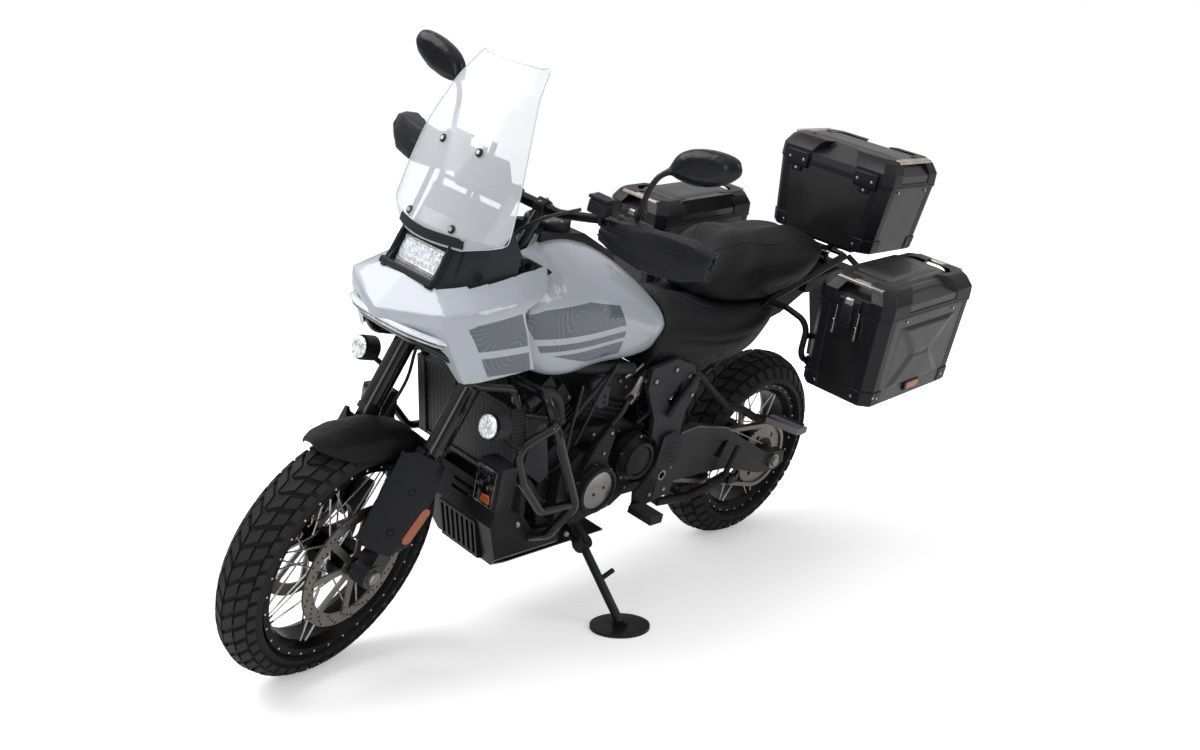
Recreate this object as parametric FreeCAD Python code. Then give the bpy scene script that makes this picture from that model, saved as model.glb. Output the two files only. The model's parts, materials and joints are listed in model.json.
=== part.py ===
"""Adventure motorcycle with hard luggage, parked on its side stand.

Every piece is built with the machine upright and steered straight: X forward, Y to its left, Z up,
with the origin on the floor under the rear axle. At the end the front end is steered, the machine
is leaned on to its stand with both tyres on the floor, and all of it is moved so that the origin
is the middle of its footprint. Lengths are millimetres and angles are degrees.
"""
import FreeCAD, Part
import json
import math
import os

V = FreeCAD.Vector
X, Y, Z = V(1, 0, 0), V(0, 1, 0), V(0, 0, 1)
ORIGIN = V(0, 0, 0)

# Driving dimensions of the machine
WHEELBASE = 1580.0
RAKE = 26.0
FORK_OFFSET = 25.0
LEAN = 15.0
STEER_AT_REST = 12.0
STEER_LOCK = 34.0
GAP = 0.3

FRONT_TYRE_R, FRONT_TYRE_HALF_W, FRONT_CROWN_R = 325.0, 58.0, 60.0
FRONT_BEAD_R, FRONT_BEAD_HALF_W = 242.0, 41.0
REAR_TYRE_R, REAR_TYRE_HALF_W, REAR_CROWN_R = 318.0, 84.0, 88.0
REAR_BEAD_R, REAR_BEAD_HALF_W = 217.0, 56.0
TYRE_WALL = 13.0
RIM_WALL = 7.0
FLANGE_HEIGHT = 12.0
SPOKE_PAIRS = 16
SPOKE_R = 2.2

AXLE_R = 12.5
AXLE_BORE_R = 8.0
RUNNING_CLEARANCE = 0.08
FORK_Y = 108.0
FORK_TUBE_R = 27.0
DISC_T = 5.0
FRONT_DISC_R, FRONT_DISC_Y = 160.0, 71.0
REAR_DISC_R, REAR_DISC_Y = 140.0, 76.0
DISC_GAP = 5.0

CHAIN_PITCH, CHAIN_HEIGHT, CHAIN_W = 15.875, 15.0, 18.0
REAR_TEETH, FRONT_TEETH = 42, 17
SPROCKET_Y, SPROCKET_T, TOOTH_OUT = 101.0, 6.0, 2.0
CHAIN_GROOVE = 0.7
SPROCKET_HOLE_R = 58.0

SHELL = 3.5
CASE_WALL = 4.0


def box(x0, x1, y0, y1, z0, z1):
    return Part.makeBox(x1 - x0, y1 - y0, z1 - z0, V(x0, y0, z0))


def rod(a, b, r):
    """A round bar from point a to point b."""
    a, b = V(*a), V(*b)
    return Part.makeCylinder(r, (b - a).Length, a, b - a)


def ring(centre, axis, outer, inner, length):
    """A ring whose length starts at centre and runs along axis."""
    c = V(*centre)
    return Part.makeCylinder(outer, length, c, axis).cut(
        Part.makeCylinder(inner, length + 2, c - axis * 1.0, axis)
    )


def fused(shapes):
    out = shapes[0]
    if len(shapes) > 1:
        out = out.multiFuse(shapes[1:])
    return out.removeSplitter()


def mirrored(shape):
    return shape.mirror(ORIGIN, Y)


def both(shape):
    """The shape and its mirror image on the other side of the machine, as separate solids."""
    return Part.makeCompound([shape, mirrored(shape)])


def rounded_path(points, bend):
    """Straight runs joined by tangent arcs of the bend radius, less where a run is short."""
    pts = [V(*p) for p in points]
    edges, start = [], pts[0]
    for i in range(1, len(pts) - 1):
        u = (pts[i - 1] - pts[i]).normalize()
        w = (pts[i + 1] - pts[i]).normalize()
        half = u.getAngle(w) / 2
        room = 0.45 * min((pts[i - 1] - pts[i]).Length, (pts[i + 1] - pts[i]).Length)
        cut = min(bend / math.tan(half), room)
        a, b = pts[i] + u * cut, pts[i] + w * cut
        r = cut * math.tan(half)
        centre = pts[i] + (u + w).normalize() * (r / math.sin(half))
        mid = centre + (pts[i] - centre).normalize() * r
        edges.append(Part.LineSegment(start, a).toShape())
        edges.append(Part.Arc(a, mid, b).toShape())
        start = b
    edges.append(Part.LineSegment(start, pts[-1]).toShape())
    return Part.Wire(edges)


def tube(points, r, bend=40.0):
    """A round tube, solid inside, bent along the points."""
    if len(points) == 2:
        return rod(points[0], points[1], r)
    path = rounded_path(points, bend)
    first = path.Edges[0]
    direction = first.tangentAt(first.FirstParameter)
    circle = Part.Wire(Part.makeCircle(r, path.Edges[0].valueAt(first.FirstParameter), direction))
    return path.makePipeShell([circle], True, False)


def plate(outline, y0, y1, corner=0.0):
    """A plate with the given outline of (x, z) points, between two values of y."""
    pts = [V(x, y0, z) for x, z in outline]
    face = Part.Face(Part.makePolygon(pts + pts[:1]))
    solid = face.extrude(V(0, y1 - y0, 0))
    if corner:
        edges = [
            e
            for e in solid.Edges
            if abs(abs(e.tangentAt(e.FirstParameter).y) - 1) < 1e-6
        ]
        solid = solid.makeFillet(corner, edges)
    return solid


def slab(outline, x0, x1):
    """A plate with the given outline of (y, z) points, between two values of x."""
    pts = [V(x0, y, z) for y, z in outline]
    return Part.Face(Part.makePolygon(pts + pts[:1])).extrude(V(x1 - x0, 0, 0))


def smooth_loop(points):
    curve = Part.BSplineCurve()
    curve.interpolate([V(*p) for p in points], PeriodicFlag=True)
    return Part.Wire(curve.toShape())


def loft(wires, ruled=False):
    return Part.makeLoft(wires, True, ruled, False)


def arch_section(x, half_w, top, bottom, shoulder, belly, sharp=0.72):
    """A closed section across the machine: flat-bottomed, with rounded shoulders at a height."""
    pts = [
        (x, 0, top),
        (x, half_w * sharp, top - (top - shoulder) * 0.22),
        (x, half_w, shoulder),
        (x, half_w * 0.97, (shoulder + bottom) / 2),
        (x, half_w * belly, bottom + 4),
        (x, 0, bottom),
    ]
    left = [(x, -y, z) for _, y, z in pts[-2:0:-1]]
    return smooth_loop(pts + left)


# Wheels: each turns about its axle, at the middle of the wheel, with the axle along Y


def tyre(outer_r, half_w, crown_r, bead_r, bead_half_w):
    """The carcass of a radial tyre: a round crown, bulging side walls and two beads."""
    crown_centre = outer_r - crown_r
    widest = crown_centre + math.sqrt(crown_r**2 - half_w**2)
    inner_r = crown_r - TYRE_WALL
    inner_w = half_w - TYRE_WALL
    inner_low = crown_centre + math.sqrt(inner_r**2 - inner_w**2)
    bead_in = bead_half_w - TYRE_WALL

    def at(y, r):
        return V(y, 0, r)

    outer = Part.Arc(at(-half_w, widest), at(0, outer_r), at(half_w, widest)).toShape()
    inner = Part.Arc(at(inner_w, inner_low), at(0, outer_r - TYRE_WALL), at(-inner_w, inner_low)).toShape()
    wall_x = bead_half_w + 0.72 * (half_w - bead_half_w)
    wall_r = bead_r + 0.5 * (widest - bead_r)
    edges = [
        outer,
        Part.Arc(at(half_w, widest), at(wall_x + 3, wall_r), at(bead_half_w, bead_r + FLANGE_HEIGHT)).toShape(),
        Part.LineSegment(at(bead_half_w, bead_r + FLANGE_HEIGHT), at(bead_half_w, bead_r)).toShape(),
        Part.LineSegment(at(bead_half_w, bead_r), at(bead_in, bead_r)).toShape(),
        Part.LineSegment(at(bead_in, bead_r), at(inner_w, inner_low)).toShape(),
        inner,
        Part.LineSegment(at(-inner_w, inner_low), at(-bead_in, bead_r)).toShape(),
        Part.LineSegment(at(-bead_in, bead_r), at(-bead_half_w, bead_r)).toShape(),
        Part.LineSegment(at(-bead_half_w, bead_r), at(-bead_half_w, bead_r + FLANGE_HEIGHT)).toShape(),
        Part.Arc(at(-bead_half_w, bead_r + FLANGE_HEIGHT), at(-wall_x - 3, wall_r), at(-half_w, widest)).toShape(),
    ]
    solid = Part.Face(Part.Wire(edges)).revolve(ORIGIN, X, 360)
    return solid.rotated(ORIGIN, Z, 90)


def rim(bead_r, bead_half_w):
    """The rim: a barrel with a dropped well and a flange outside each bead."""
    seat = bead_r - GAP
    face = bead_half_w + GAP
    out = face + RIM_WALL
    lip = bead_r + FLANGE_HEIGHT - 1
    well = seat - 14
    half = [
        (0, well), (face - 16, well), (face - 12, seat), (face, seat), (face, lip),
        (out, lip - 2), (out, seat - RIM_WALL), (face - 14, well - RIM_WALL), (0, well - RIM_WALL),
    ]
    other = [(-y, r) for y, r in half[-2:0:-1]]
    pts = [V(y, 0, r) for y, r in half + other]
    solid = Part.Face(Part.makePolygon(pts + pts[:1])).revolve(ORIGIN, X, 360)
    return solid.rotated(ORIGIN, Z, 90)


def wheel_frame(bead_r, bead_half_w, hub_half, flange_y, flange_r, barrel_r):
    """Rim, hub and crossed wire spokes, joined as the built wheel is."""
    hub = Part.makeCylinder(barrel_r, 2 * hub_half, V(0, -hub_half, 0), Y)
    for side in (-1, 1):
        hub = hub.fuse(Part.makeCylinder(flange_r, 7, V(0, side * flange_y - 3.5, 0), Y))
    rim_solid = rim(bead_r, bead_half_w)
    wires = []
    step = 360.0 / SPOKE_PAIRS
    rim_y = bead_half_w - 4
    rim_r = bead_r - 12
    sweep = 2.6 * step
    for i in range(SPOKE_PAIRS):
        side = 1 if i % 2 else -1
        for turn in (-1, 1):
            a0 = math.radians(i * step + turn * 2.0)
            a1 = math.radians(i * step + turn * sweep)
            start = (rim_r * math.cos(a0), side * rim_y, rim_r * math.sin(a0))
            end_r = flange_r - 4
            end = (end_r * math.cos(a1), side * (flange_y - turn * 1.5), end_r * math.sin(a1))
            wires.append(rod(start, end, SPOKE_R))
    return fused([rim_solid, hub] + wires)


def disc(radius, band, y, carrier_arms, hub_r):
    """A floating brake disc on its carrier, with bobbins between the two."""
    body = ring((0, y - DISC_T / 2, 0), Y, radius, radius - band, DISC_T)
    pieces = [body, ring((0, y - DISC_T / 2, 0), Y, hub_r + 14, hub_r, DISC_T)]
    for i in range(carrier_arms):
        angle = 360.0 * i / carrier_arms
        arm = box(hub_r + 8, radius - band + 4, y - DISC_T / 2, y + DISC_T / 2, -9, 9)
        bobbin = Part.makeCylinder(9, DISC_T + 3, V(radius - band - 2, y - DISC_T / 2 - 1.5, 0), Y)
        pieces += [s.rotated(ORIGIN, Y, angle) for s in (arm, bobbin)]
    return fused(pieces)


def sprocket(y, teeth, pitch):
    """The chain wheel: a toothed disc with round lightening holes."""
    pitch_r = pitch / (2 * math.sin(math.pi / teeth))
    body = ring((0, y - SPROCKET_T / 2, 0), Y, pitch_r - 1.5, SPROCKET_HOLE_R, SPROCKET_T)
    roller = Part.makeCylinder(4.6, 8, V(pitch_r, y - 4, 0), Y)
    tip_r = TOOTH_OUT - 3.4 + pitch_r
    half = math.pi / teeth
    tip = Part.makeCylinder(3.4, SPROCKET_T, V(tip_r * math.cos(half), y - SPROCKET_T / 2,
                                               tip_r * math.sin(half)), Y)
    cuts, tips = [], []
    for i in range(teeth):
        cuts.append(roller.rotated(ORIGIN, Y, 360.0 * i / teeth))
        tips.append(tip.rotated(ORIGIN, Y, 360.0 * i / teeth))
    for i in range(6):
        cuts.append(Part.makeCylinder(8, 8, V(72, y - 4, 0), Y).rotated(ORIGIN, Y, 60.0 * i))
    return body.multiFuse(tips).cut(Part.makeCompound(cuts)).removeSplitter()


def chain_loop(front, rear, y, front_r, rear_r, pitch, height, width):
    """A closed roller chain round two sprockets, its links in the wavy outline on both edges."""
    fx, fz = front
    rx, rz = rear
    span = math.hypot(fx - rx, fz - rz)
    tilt = math.atan2(fz - rz, fx - rx)
    lap = math.asin((rear_r - front_r) / span)
    run = span * math.cos(lap)
    length = 2 * run + rear_r * (math.pi + 2 * lap) + front_r * (math.pi - 2 * lap)
    links = int(round(length / pitch))

    def at(distance, side):
        d = distance % length
        rear_arc = rear_r * (math.pi + 2 * lap)
        if d < run:
            a = tilt + math.pi / 2 - lap
            sx, sz = fx + front_r * math.cos(a), fz + front_r * math.sin(a)
            direction = a + math.pi / 2
            px, pz = sx + d * math.cos(direction), sz + d * math.sin(direction)
        elif d < run + rear_arc:
            a = tilt + math.pi / 2 - lap + (d - run) / rear_r
            px, pz = rx + rear_r * math.cos(a), rz + rear_r * math.sin(a)
        elif d < 2 * run + rear_arc:
            a = tilt - math.pi / 2 + lap
            sx, sz = rx + rear_r * math.cos(a), rz + rear_r * math.sin(a)
            direction = a + math.pi / 2
            px = sx + (d - run - rear_arc) * math.cos(direction)
            pz = sz + (d - run - rear_arc) * math.sin(direction)
        else:
            a = tilt - math.pi / 2 + lap + (d - 2 * run - rear_arc) / front_r
            px, pz = fx + front_r * math.cos(a), fz + front_r * math.sin(a)
        return px + side * math.cos(a), pz + side * math.sin(a)

    def edge(sign):
        pts = []
        for i in range(links):
            pts.append(at((i + 0.0) * length / links, sign * height * 0.38))
            pts.append(at((i + 0.5) * length / links, sign * height * 0.5))
        return Part.makePolygon([V(px, y - width / 2, pz) for px, pz in pts + pts[:1]])

    outer = Part.Face(edge(1)).extrude(V(0, width, 0))
    inner = Part.Face(edge(-1)).extrude(V(0, width, 0))
    groove = Part.makeCylinder(
        rear_r + TOOTH_OUT + CHAIN_GROOVE, SPROCKET_T + 2 * CHAIN_GROOVE,
        V(rx, y - SPROCKET_T / 2 - CHAIN_GROOVE, rz), Y
    )
    return outer.cut(inner).cut(groove)


def final_drive():
    front_r = CHAIN_PITCH / (2 * math.sin(math.pi / FRONT_TEETH))
    rear_r = CHAIN_PITCH / (2 * math.sin(math.pi / REAR_TEETH))
    return chain_loop((700, 430), (0, REAR_TYRE_R), SPROCKET_Y, front_r, rear_r, CHAIN_PITCH, CHAIN_HEIGHT,
                      CHAIN_W)


# Front end: built with its axle at the origin, Z up the fork and X square to it, to the front

STEM_X = -FORK_OFFSET
TUBE_X = -12.0
LOWER_CLAMP_S, UPPER_CLAMP_S = 545.0, 762.0
CLAMP_T = 32.0
TUBE_END_S = 322.0
TUBE_TOP_S = 812.0
STEM_R = 14.0
BAR_S = 947.0
BAR_R = 14.0
GRIP_R = 17.0


def fork_place(shape):
    tilted = shape.rotated(ORIGIN, Y, -RAKE)
    return tilted.translated(V(WHEELBASE, 0, FRONT_TYRE_R))


def fork_legs():
    """Outer tubes, inner tubes and axle lugs of the upside-down fork, on both sides."""
    inner_r = FORK_TUBE_R - 4
    leg = [
        rod((TUBE_X, FORK_Y, TUBE_END_S), (TUBE_X, FORK_Y, TUBE_TOP_S), FORK_TUBE_R),
        rod((TUBE_X, FORK_Y, 60), (TUBE_X, FORK_Y, TUBE_END_S), inner_r),
        rod((TUBE_X, FORK_Y, 60), (TUBE_X, FORK_Y, 105), inner_r + 5),
        rod((TUBE_X, FORK_Y, TUBE_END_S), (TUBE_X, FORK_Y, TUBE_END_S + 14), FORK_TUBE_R + 2.5),
        Part.makeCylinder(30, 46, V(0, FORK_Y - 24, 0), Y),
        box(-34, 22, FORK_Y - 22, FORK_Y + 20, 0, 80),
        box(-72, -20, FORK_Y - 22, FORK_Y - 4, 70, 96),
        box(-72, -20, FORK_Y - 22, FORK_Y - 4, 150, 172),
        box(-26, -8, FORK_Y - 24, FORK_Y - 4, 96, 172),
    ]
    leg = fused(leg).cut(Part.makeCylinder(AXLE_R, 60, V(0, FORK_Y - 30, 0), Y))
    return both(leg)


def triple_clamps():
    """The two fork clamps and the stem between them, which turns in the steering head."""
    parts = []
    for s in (LOWER_CLAMP_S, UPPER_CLAMP_S):
        parts.append(box(TUBE_X - 30, TUBE_X + 26, -FORK_Y, FORK_Y, s, s + CLAMP_T))
        parts.append(Part.makeCylinder(32, CLAMP_T, V(STEM_X, 0, s), Z))
        for side in (-1, 1):
            parts.append(Part.makeCylinder(FORK_TUBE_R + 9, CLAMP_T, V(TUBE_X, side * FORK_Y, s), Z))
    parts.append(rod((STEM_X, 0, LOWER_CLAMP_S + 4), (STEM_X, 0, UPPER_CLAMP_S + CLAMP_T + 6), STEM_R))
    body = fused(parts)
    for side in (-1, 1):
        hole = Part.makeCylinder(FORK_TUBE_R, 4 * CLAMP_T + 300, V(TUBE_X, side * FORK_Y, 480), Z)
        body = body.cut(hole)
    risers = []
    for side in (-1, 1):
        foot = (STEM_X, side * 42, UPPER_CLAMP_S + CLAMP_T)
        risers.append(rod(foot, (STEM_X, side * 42, BAR_S), 15))
    return body.multiFuse(risers).removeSplitter()


def front_axle():
    """The hollow wheel spindle with its head and the two wheel spacers."""
    reach = FORK_Y + 24
    body = [
        Part.makeCylinder(AXLE_R, 2 * reach, V(0, -reach, 0), Y),
        Part.makeCylinder(17, 6, V(0, reach - 2, 0), Y),
        Part.makeCylinder(17, 6, V(0, -reach - 4, 0), Y),
    ]
    inner = FRONT_DISC_Y - DISC_T / 2 + GAP
    for side in (-1, 1):
        start = inner if side > 0 else -(FORK_Y - 24)
        body.append(Part.makeCylinder(16, FORK_Y - 24 - inner, V(0, start, 0), Y))
    return fused(body).cut(Part.makeCylinder(AXLE_BORE_R, 2 * reach + 40, V(0, -reach - 20, 0), Y))


def fork_guards():
    """A moulded guard in front of each lower leg, wrapped to the outside."""
    outline = [(78, 84), (86, 92), (60, 122), (18, 152), (-34, 156), (-37, 151),
               (14, 146), (54, 118), (78, 91), (72, 87)]
    pts = [V(u, y, 62) for u, y in outline]
    wall = Part.Face(Part.makePolygon(pts + pts[:1])).extrude(V(0, 0, 250))
    trim = [
        plate([(-60, 40), (-60, 112), (8, 70), (20, 40)], 60, 180),
        plate([(50, 40), (120, 40), (120, 92), (62, 62)], 60, 180),
        plate([(-60, 230), (-60, 330), (10, 330), (-22, 262)], 60, 180),
        plate([(40, 330), (120, 330), (120, 262)], 60, 180),
    ]
    wall = wall.cut(Part.makeCompound(trim))
    boss = box(TUBE_X - 6, TUBE_X + 10, FORK_Y + 22, 153, 78, 96)
    lug = box(TUBE_X - 8, TUBE_X + 8, FORK_Y + 22, 154, 284, 300)
    return both(fused([wall, boss, lug]))


def front_fender():
    """A close mudguard over the front tyre, with a beak in front and stays to the fork."""
    def section(angle, drop, half, gap):
        a = math.radians(angle)
        r = FRONT_TYRE_R + gap
        pts = []
        for y, sink in ((half, drop), (half * 0.86, drop * 0.30), (half * 0.45, 3.0), (0, 0)):
            pts.append((y, r - sink))
        out = pts + [(-y, rr) for y, rr in pts[-2::-1]]
        inner = [(y * (1 - SHELL / half), rr - SHELL) for y, rr in out[::-1]]
        loop = out + inner
        return Part.makePolygon([V(rr * math.cos(a), y, rr * math.sin(a)) for y, rr in loop + loop[:1]])

    wires = [
        section(65, 14, 22, 54),
        section(72, 40, 60, 37),
        section(84, 62, 74, 26),
        section(100, 66, 76, 22),
        section(118, 62, 76, 20),
        section(136, 56, 75, 20),
        section(150, 40, 70, 20),
    ]
    body = loft([w.rotated(ORIGIN, Y, RAKE) for w in wires], ruled=True)
    stays = []
    for side in (-1, 1):
        y0, y1 = sorted((side * 73, side * (FORK_Y - 4)))
        stays.append(box(-30, 14, y0, y1, 296, 318))
    return fused([body] + stays)


def calipers():
    """Two brake calipers behind the fork legs, each with a slot that the disc runs through."""
    body = box(-98, -40, FRONT_DISC_Y - 26, FRONT_DISC_Y + 30, 62, 176)
    edges = [e for e in body.Edges if abs(abs(e.tangentAt(e.FirstParameter).y) - 1) < 1e-6]
    body = body.makeFillet(14, edges)
    slot = Part.makeCylinder(
        FRONT_DISC_R + DISC_GAP, DISC_T + 2 * DISC_GAP, V(0, FRONT_DISC_Y - DISC_T / 2 - DISC_GAP, 0), Y
    )
    inner = Part.makeCylinder(110, 80, V(0, FRONT_DISC_Y - 30, 0), Y)
    return body.cut(slot).cut(inner)


def handlebar():
    """The tapered bar with its grips, bar-end weights and the two control clusters."""
    rise = [(1142, 0, 1165), (1146, 95, 1168), (1132, 205, 1196), (1112, 285, 1200), (1052, 455, 1186)]
    run = rise[::-1][:-1]
    points = run + [(px, -py, pz) for px, py, pz in rise]
    points = [p for i, p in enumerate(points) if p[1] != 0 or i == 0]
    bar = tube(points, BAR_R - 3, 60)
    centre = rod((1143, -70, 1165.5), (1143, 70, 1165.5), BAR_R)
    grip_a, grip_b = V(*rise[3]), V(*rise[4])
    along = (grip_b - grip_a).normalize()
    parts = [bar, centre]
    for side in (1, -1):
        def point(distance):
            p = grip_a + along * distance
            return (p.x, p.y * side, p.z)
        parts.append(rod(point(38), point(170), GRIP_R))
        parts.append(rod(point(170), point(196), GRIP_R + 2))
        parts.append(rod(point(-6), point(34), GRIP_R + 7))
        inner = point(-46)
        parts.append(rod(point(-48), point(-8), GRIP_R + 1))
        lever_root = (inner[0] + 42, inner[1], inner[2] - 4)
        lever_tip = point(150)
        lever_tip = (lever_tip[0] + 52, lever_tip[1], lever_tip[2] - 6)
        parts.append(rod(inner, lever_root, 9))
        parts.append(rod(lever_root, lever_tip, 5.5))
    return fused(parts)


def hand_guards():
    """A closed moulded shell in front of each grip."""
    sections = [
        (218, 1172, 1212, 1150, 22),
        (270, 1192, 1225, 1140, 40),
        (350, 1186, 1232, 1128, 58),
        (430, 1152, 1232, 1130, 70),
        (484, 1106, 1214, 1150, 46),
    ]
    wires = []
    for y, front, top, bottom, depth in sections:
        mid = (top + bottom) / 2
        outer = [(front - depth, top), (front - 14, top - 4), (front, mid), (front - 10, bottom + 6),
                 (front - 30, bottom)]
        inner = [(px - 4, mid + (pz - mid) * 0.90) for px, pz in outer[::-1]]
        loop = [V(px, y, pz) for px, pz in outer + inner]
        wires.append(Part.makePolygon(loop + loop[:1]))
    shell = loft(wires, ruled=True)
    arm = rod((1052, 466, 1187), (1122, 462, 1188), 9)
    return both(fused([shell, arm]))


def mirrors():
    """A stalk and a teardrop head on each side."""
    back = [(-86, -4), (-62, 30), (-10, 44), (48, 40), (84, 22), (88, -2), (66, -26), (10, -42), (-50, -38)]
    front = [(y * 0.62, z * 0.6) for y, z in back]
    head = loft([smooth_loop([(0, y, z) for y, z in back]), smooth_loop([(14, y, z) for y, z in back]),
                 smooth_loop([(34, y, z) for y, z in front])])
    head = head.rotated(ORIGIN, X, 14).translated(V(1076, 392, 1388))
    stalk = tube([(1116, 282, 1205), (1112, 286, 1300), (1104, 300, 1344), (1094, 340, 1368)], 7, 40)
    return both(fused([head, stalk]))


# Bodywork

POD_TOP_Z = 1178.0


def plan_outline(points, inset=0, lift=0):
    """A closed outline seen in plan from the (x, y, z) points of its left half, drawn in by an inset."""
    full = points + [(px, -py, pz) for px, py, pz in points[-2::-1]]
    thin_x, thin_y = 1 - inset / 230, 1 - inset / 180
    loop = [V(1250 + (px - 1250) * thin_x, py * thin_y, pz + lift) for px, py, pz in full]
    return Part.makePolygon(loop + loop[:1])


def front_fairing():
    """The painted shell: a beaked nose with square corners and two wings beside the tank."""
    def sloped(points, z, slope):
        return [(px, py, z + slope * (1500 - px)) for px, py in points]

    loops = [
        sloped([(1180, 150), (1240, 153), (1300, 152), (1370, 142), (1415, 128), (1470, 76), (1484, 0)],
               1008, 0.17),
        [(1180, 172, 1000), (1240, 194, 994), (1300, 203, 988), (1370, 202, 981), (1430, 196, 975),
         (1500, 174, 965), (1556, 0, 930)],
        [(1190, 198, 925), (1246, 208, 923), (1310, 211, 921), (1376, 209, 924), (1434, 203, 929),
         (1497, 172, 934), (1560, 0, 910)],
        sloped([(1190, 197), (1246, 202), (1310, 204), (1370, 204), (1400, 203), (1432, 196), (1470, 0)],
               800, 0.06),
    ]
    outer = loft([plan_outline(loop) for loop in loops], ruled=True)
    lifts = (4, -SHELL, 0, -4)
    inner = loft([plan_outline(loop, SHELL, lift) for loop, lift in zip(loops, lifts)], ruled=True)
    nose_cut = plate([(1496, 906), (1434, 803), (1428, 700), (1700, 700), (1700, 906)], -260, 260)
    rear_cut = plate([(1100, 700), (1204, 700), (1204, 790), (1262, 900), (1288, 966),
                      (1196, 1004), (1196, 1200), (1100, 1200)], -260, 260)
    return outer.cut(inner).cut(nose_cut).cut(rear_cut)


def headlamp_pod():
    """The housing of the headlamp and instruments, wide at the back, narrow in front."""
    def ringed(z, front, mid, rear):
        pts = [front, mid, rear]
        loop = [V(px, py, z) for px, py in pts] + [V(px, -py, z) for px, py in pts[::-1]]
        return Part.makePolygon(loop + loop[:1])

    body = loft([
        ringed(1000, (1482, 90), (1382, 138), (1288, 150)),
        ringed(1085, (1428, 78), (1358, 130), (1280, 148)),
        ringed(POD_TOP_Z, (1382, 66), (1340, 118), (1328, 128)),
    ], ruled=True)
    lens_recess = box(-16, 60, -76, 76, 8, 76).rotated(ORIGIN, Y, -22).translated(V(1462, 0, 1004))
    return body.cut(lens_recess)


def headlamp_lens():
    lens = box(-15, -3, -74, 74, 10, 74)
    return lens.rotated(ORIGIN, Y, -22).translated(V(1462, 0, 1004))


def windscreen():
    """A tall curved screen, widest at its shoulders."""
    levels = [
        (1088, 1456, 104, 1426),
        (1120, 1446, 188, 1384),
        (1150, 1432, 197, 1372),
        (1230, 1408, 187, 1356),
        (1317, 1376, 170, 1336),
        (1400, 1340, 144, 1308),
        (1434, 1322, 132, 1294),
        (1490, 1286, 111, 1258),
    ]
    wires = []
    for z, x_mid, half, x_side in levels:
        t = SHELL
        outer = Part.Arc(V(x_side, half, z), V(x_mid, 0, z), V(x_side, -half, z)).toShape()
        inner = Part.Arc(V(x_side - t, -half + 1, z), V(x_mid - t, 0, z), V(x_side - t, half - 1, z)).toShape()
        joins = [
            Part.LineSegment(V(x_side, -half, z), V(x_side - t, -half + 1, z)).toShape(),
            Part.LineSegment(V(x_side - t, half - 1, z), V(x_side, half, z)).toShape(),
        ]
        wires.append(Part.Wire([outer, joins[0], inner, joins[1]]))
    return loft(wires, ruled=True)


def screen_brackets():
    """Two upright rails behind the screen and a bar between them, on top of the headlamp housing."""
    foot = POD_TOP_Z
    rail = plate([(1368, foot), (1380, foot), (1342, 1320), (1334, 1318)], 58, 68)
    boss = rod((1344, 63, 1290), (1379, 63, 1290), 6)
    across = rod((1365, -60, 1213), (1365, 60, 1213), 5)
    return fused([rail, boss, mirrored(rail), mirrored(boss), across])


def instrument():
    """The display behind the screen, on a foot that reaches the bar between the screen rails."""
    face = box(-10, 10, -92, 92, -52, 52)
    foot = box(8, 58.7, -30, 30, -6, 6)
    face = fused([face, foot])
    return face.rotated(ORIGIN, Y, 20).translated(V(1304, 0, 1232))


def fuel_tank():
    """The painted tank: a rounded saddle, widest ahead of the knees."""
    sections = [
        arch_section(596, 100, 842, 800, 820, 0.8),
        arch_section(690, 138, 905, 778, 846, 0.84),
        arch_section(820, 164, 985, 772, 895, 0.84),
        arch_section(950, 184, 1050, 776, 930, 0.82),
        arch_section(1080, 200, 1082, 776, 935, 0.86),
        arch_section(1180, 196, 1066, 800, 950, 0.88),
        arch_section(1252, 178, 1030, 850, 960, 0.9),
    ]
    return loft(sections)


def tank_console():
    """The black panel on top of the tank with its round filler cap."""
    deck = plate([(1150, 1074), (1150, 1104), (1000, 1098), (880, 1040), (870, 1016), (1000, 1060)],
                 -70, 70)
    cap = rod((1062, 0, 1080), (1066, 0, 1118), 58)
    return fused([deck, cap])


def rider_seat():
    sections = [
        arch_section(726, 148, 860, 726, 790, 0.86),
        arch_section(690, 158, 918, 716, 820, 0.88),
        arch_section(620, 162, 902, 708, 830, 0.9),
        arch_section(540, 167, 882, 706, 822, 0.92),
        arch_section(440, 171, 872, 714, 812, 0.92),
        arch_section(330, 170, 878, 732, 818, 0.92),
        arch_section(240, 160, 886, 768, 832, 0.9),
        arch_section(188, 138, 884, 806, 842, 0.88),
    ]
    return loft(sections)


def passenger_seat():
    sections = [
        arch_section(474, 70, 938, 886, 912, 0.84),
        arch_section(430, 116, 996, 884, 946, 0.88),
        arch_section(376, 138, 1044, 884, 972, 0.9),
        arch_section(250, 148, 1054, 884, 980, 0.9),
        arch_section(132, 149, 1056, 898, 986, 0.9),
        arch_section(30, 142, 1054, 940, 996, 0.9),
        arch_section(-28, 118, 1044, 980, 1010, 0.88),
    ]
    return loft(sections)


# Frame and running gear

PIVOT = (600.0, 400.0)
SPROCKET_COVER, SPROCKET_COVER_R = (714.0, 467.0), 70.0
SWING_IN_Y, SWING_OUT_Y = 118.0, 150.0
REAR_AXLE_R = 14.0
PLATE_IN_Y, PLATE_OUT_Y = 158.0, 172.0
PIVOT_REACH = 176.0
PEG_BRACKET_T, HEEL_PLATE_T = 8.0, 3.0


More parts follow.
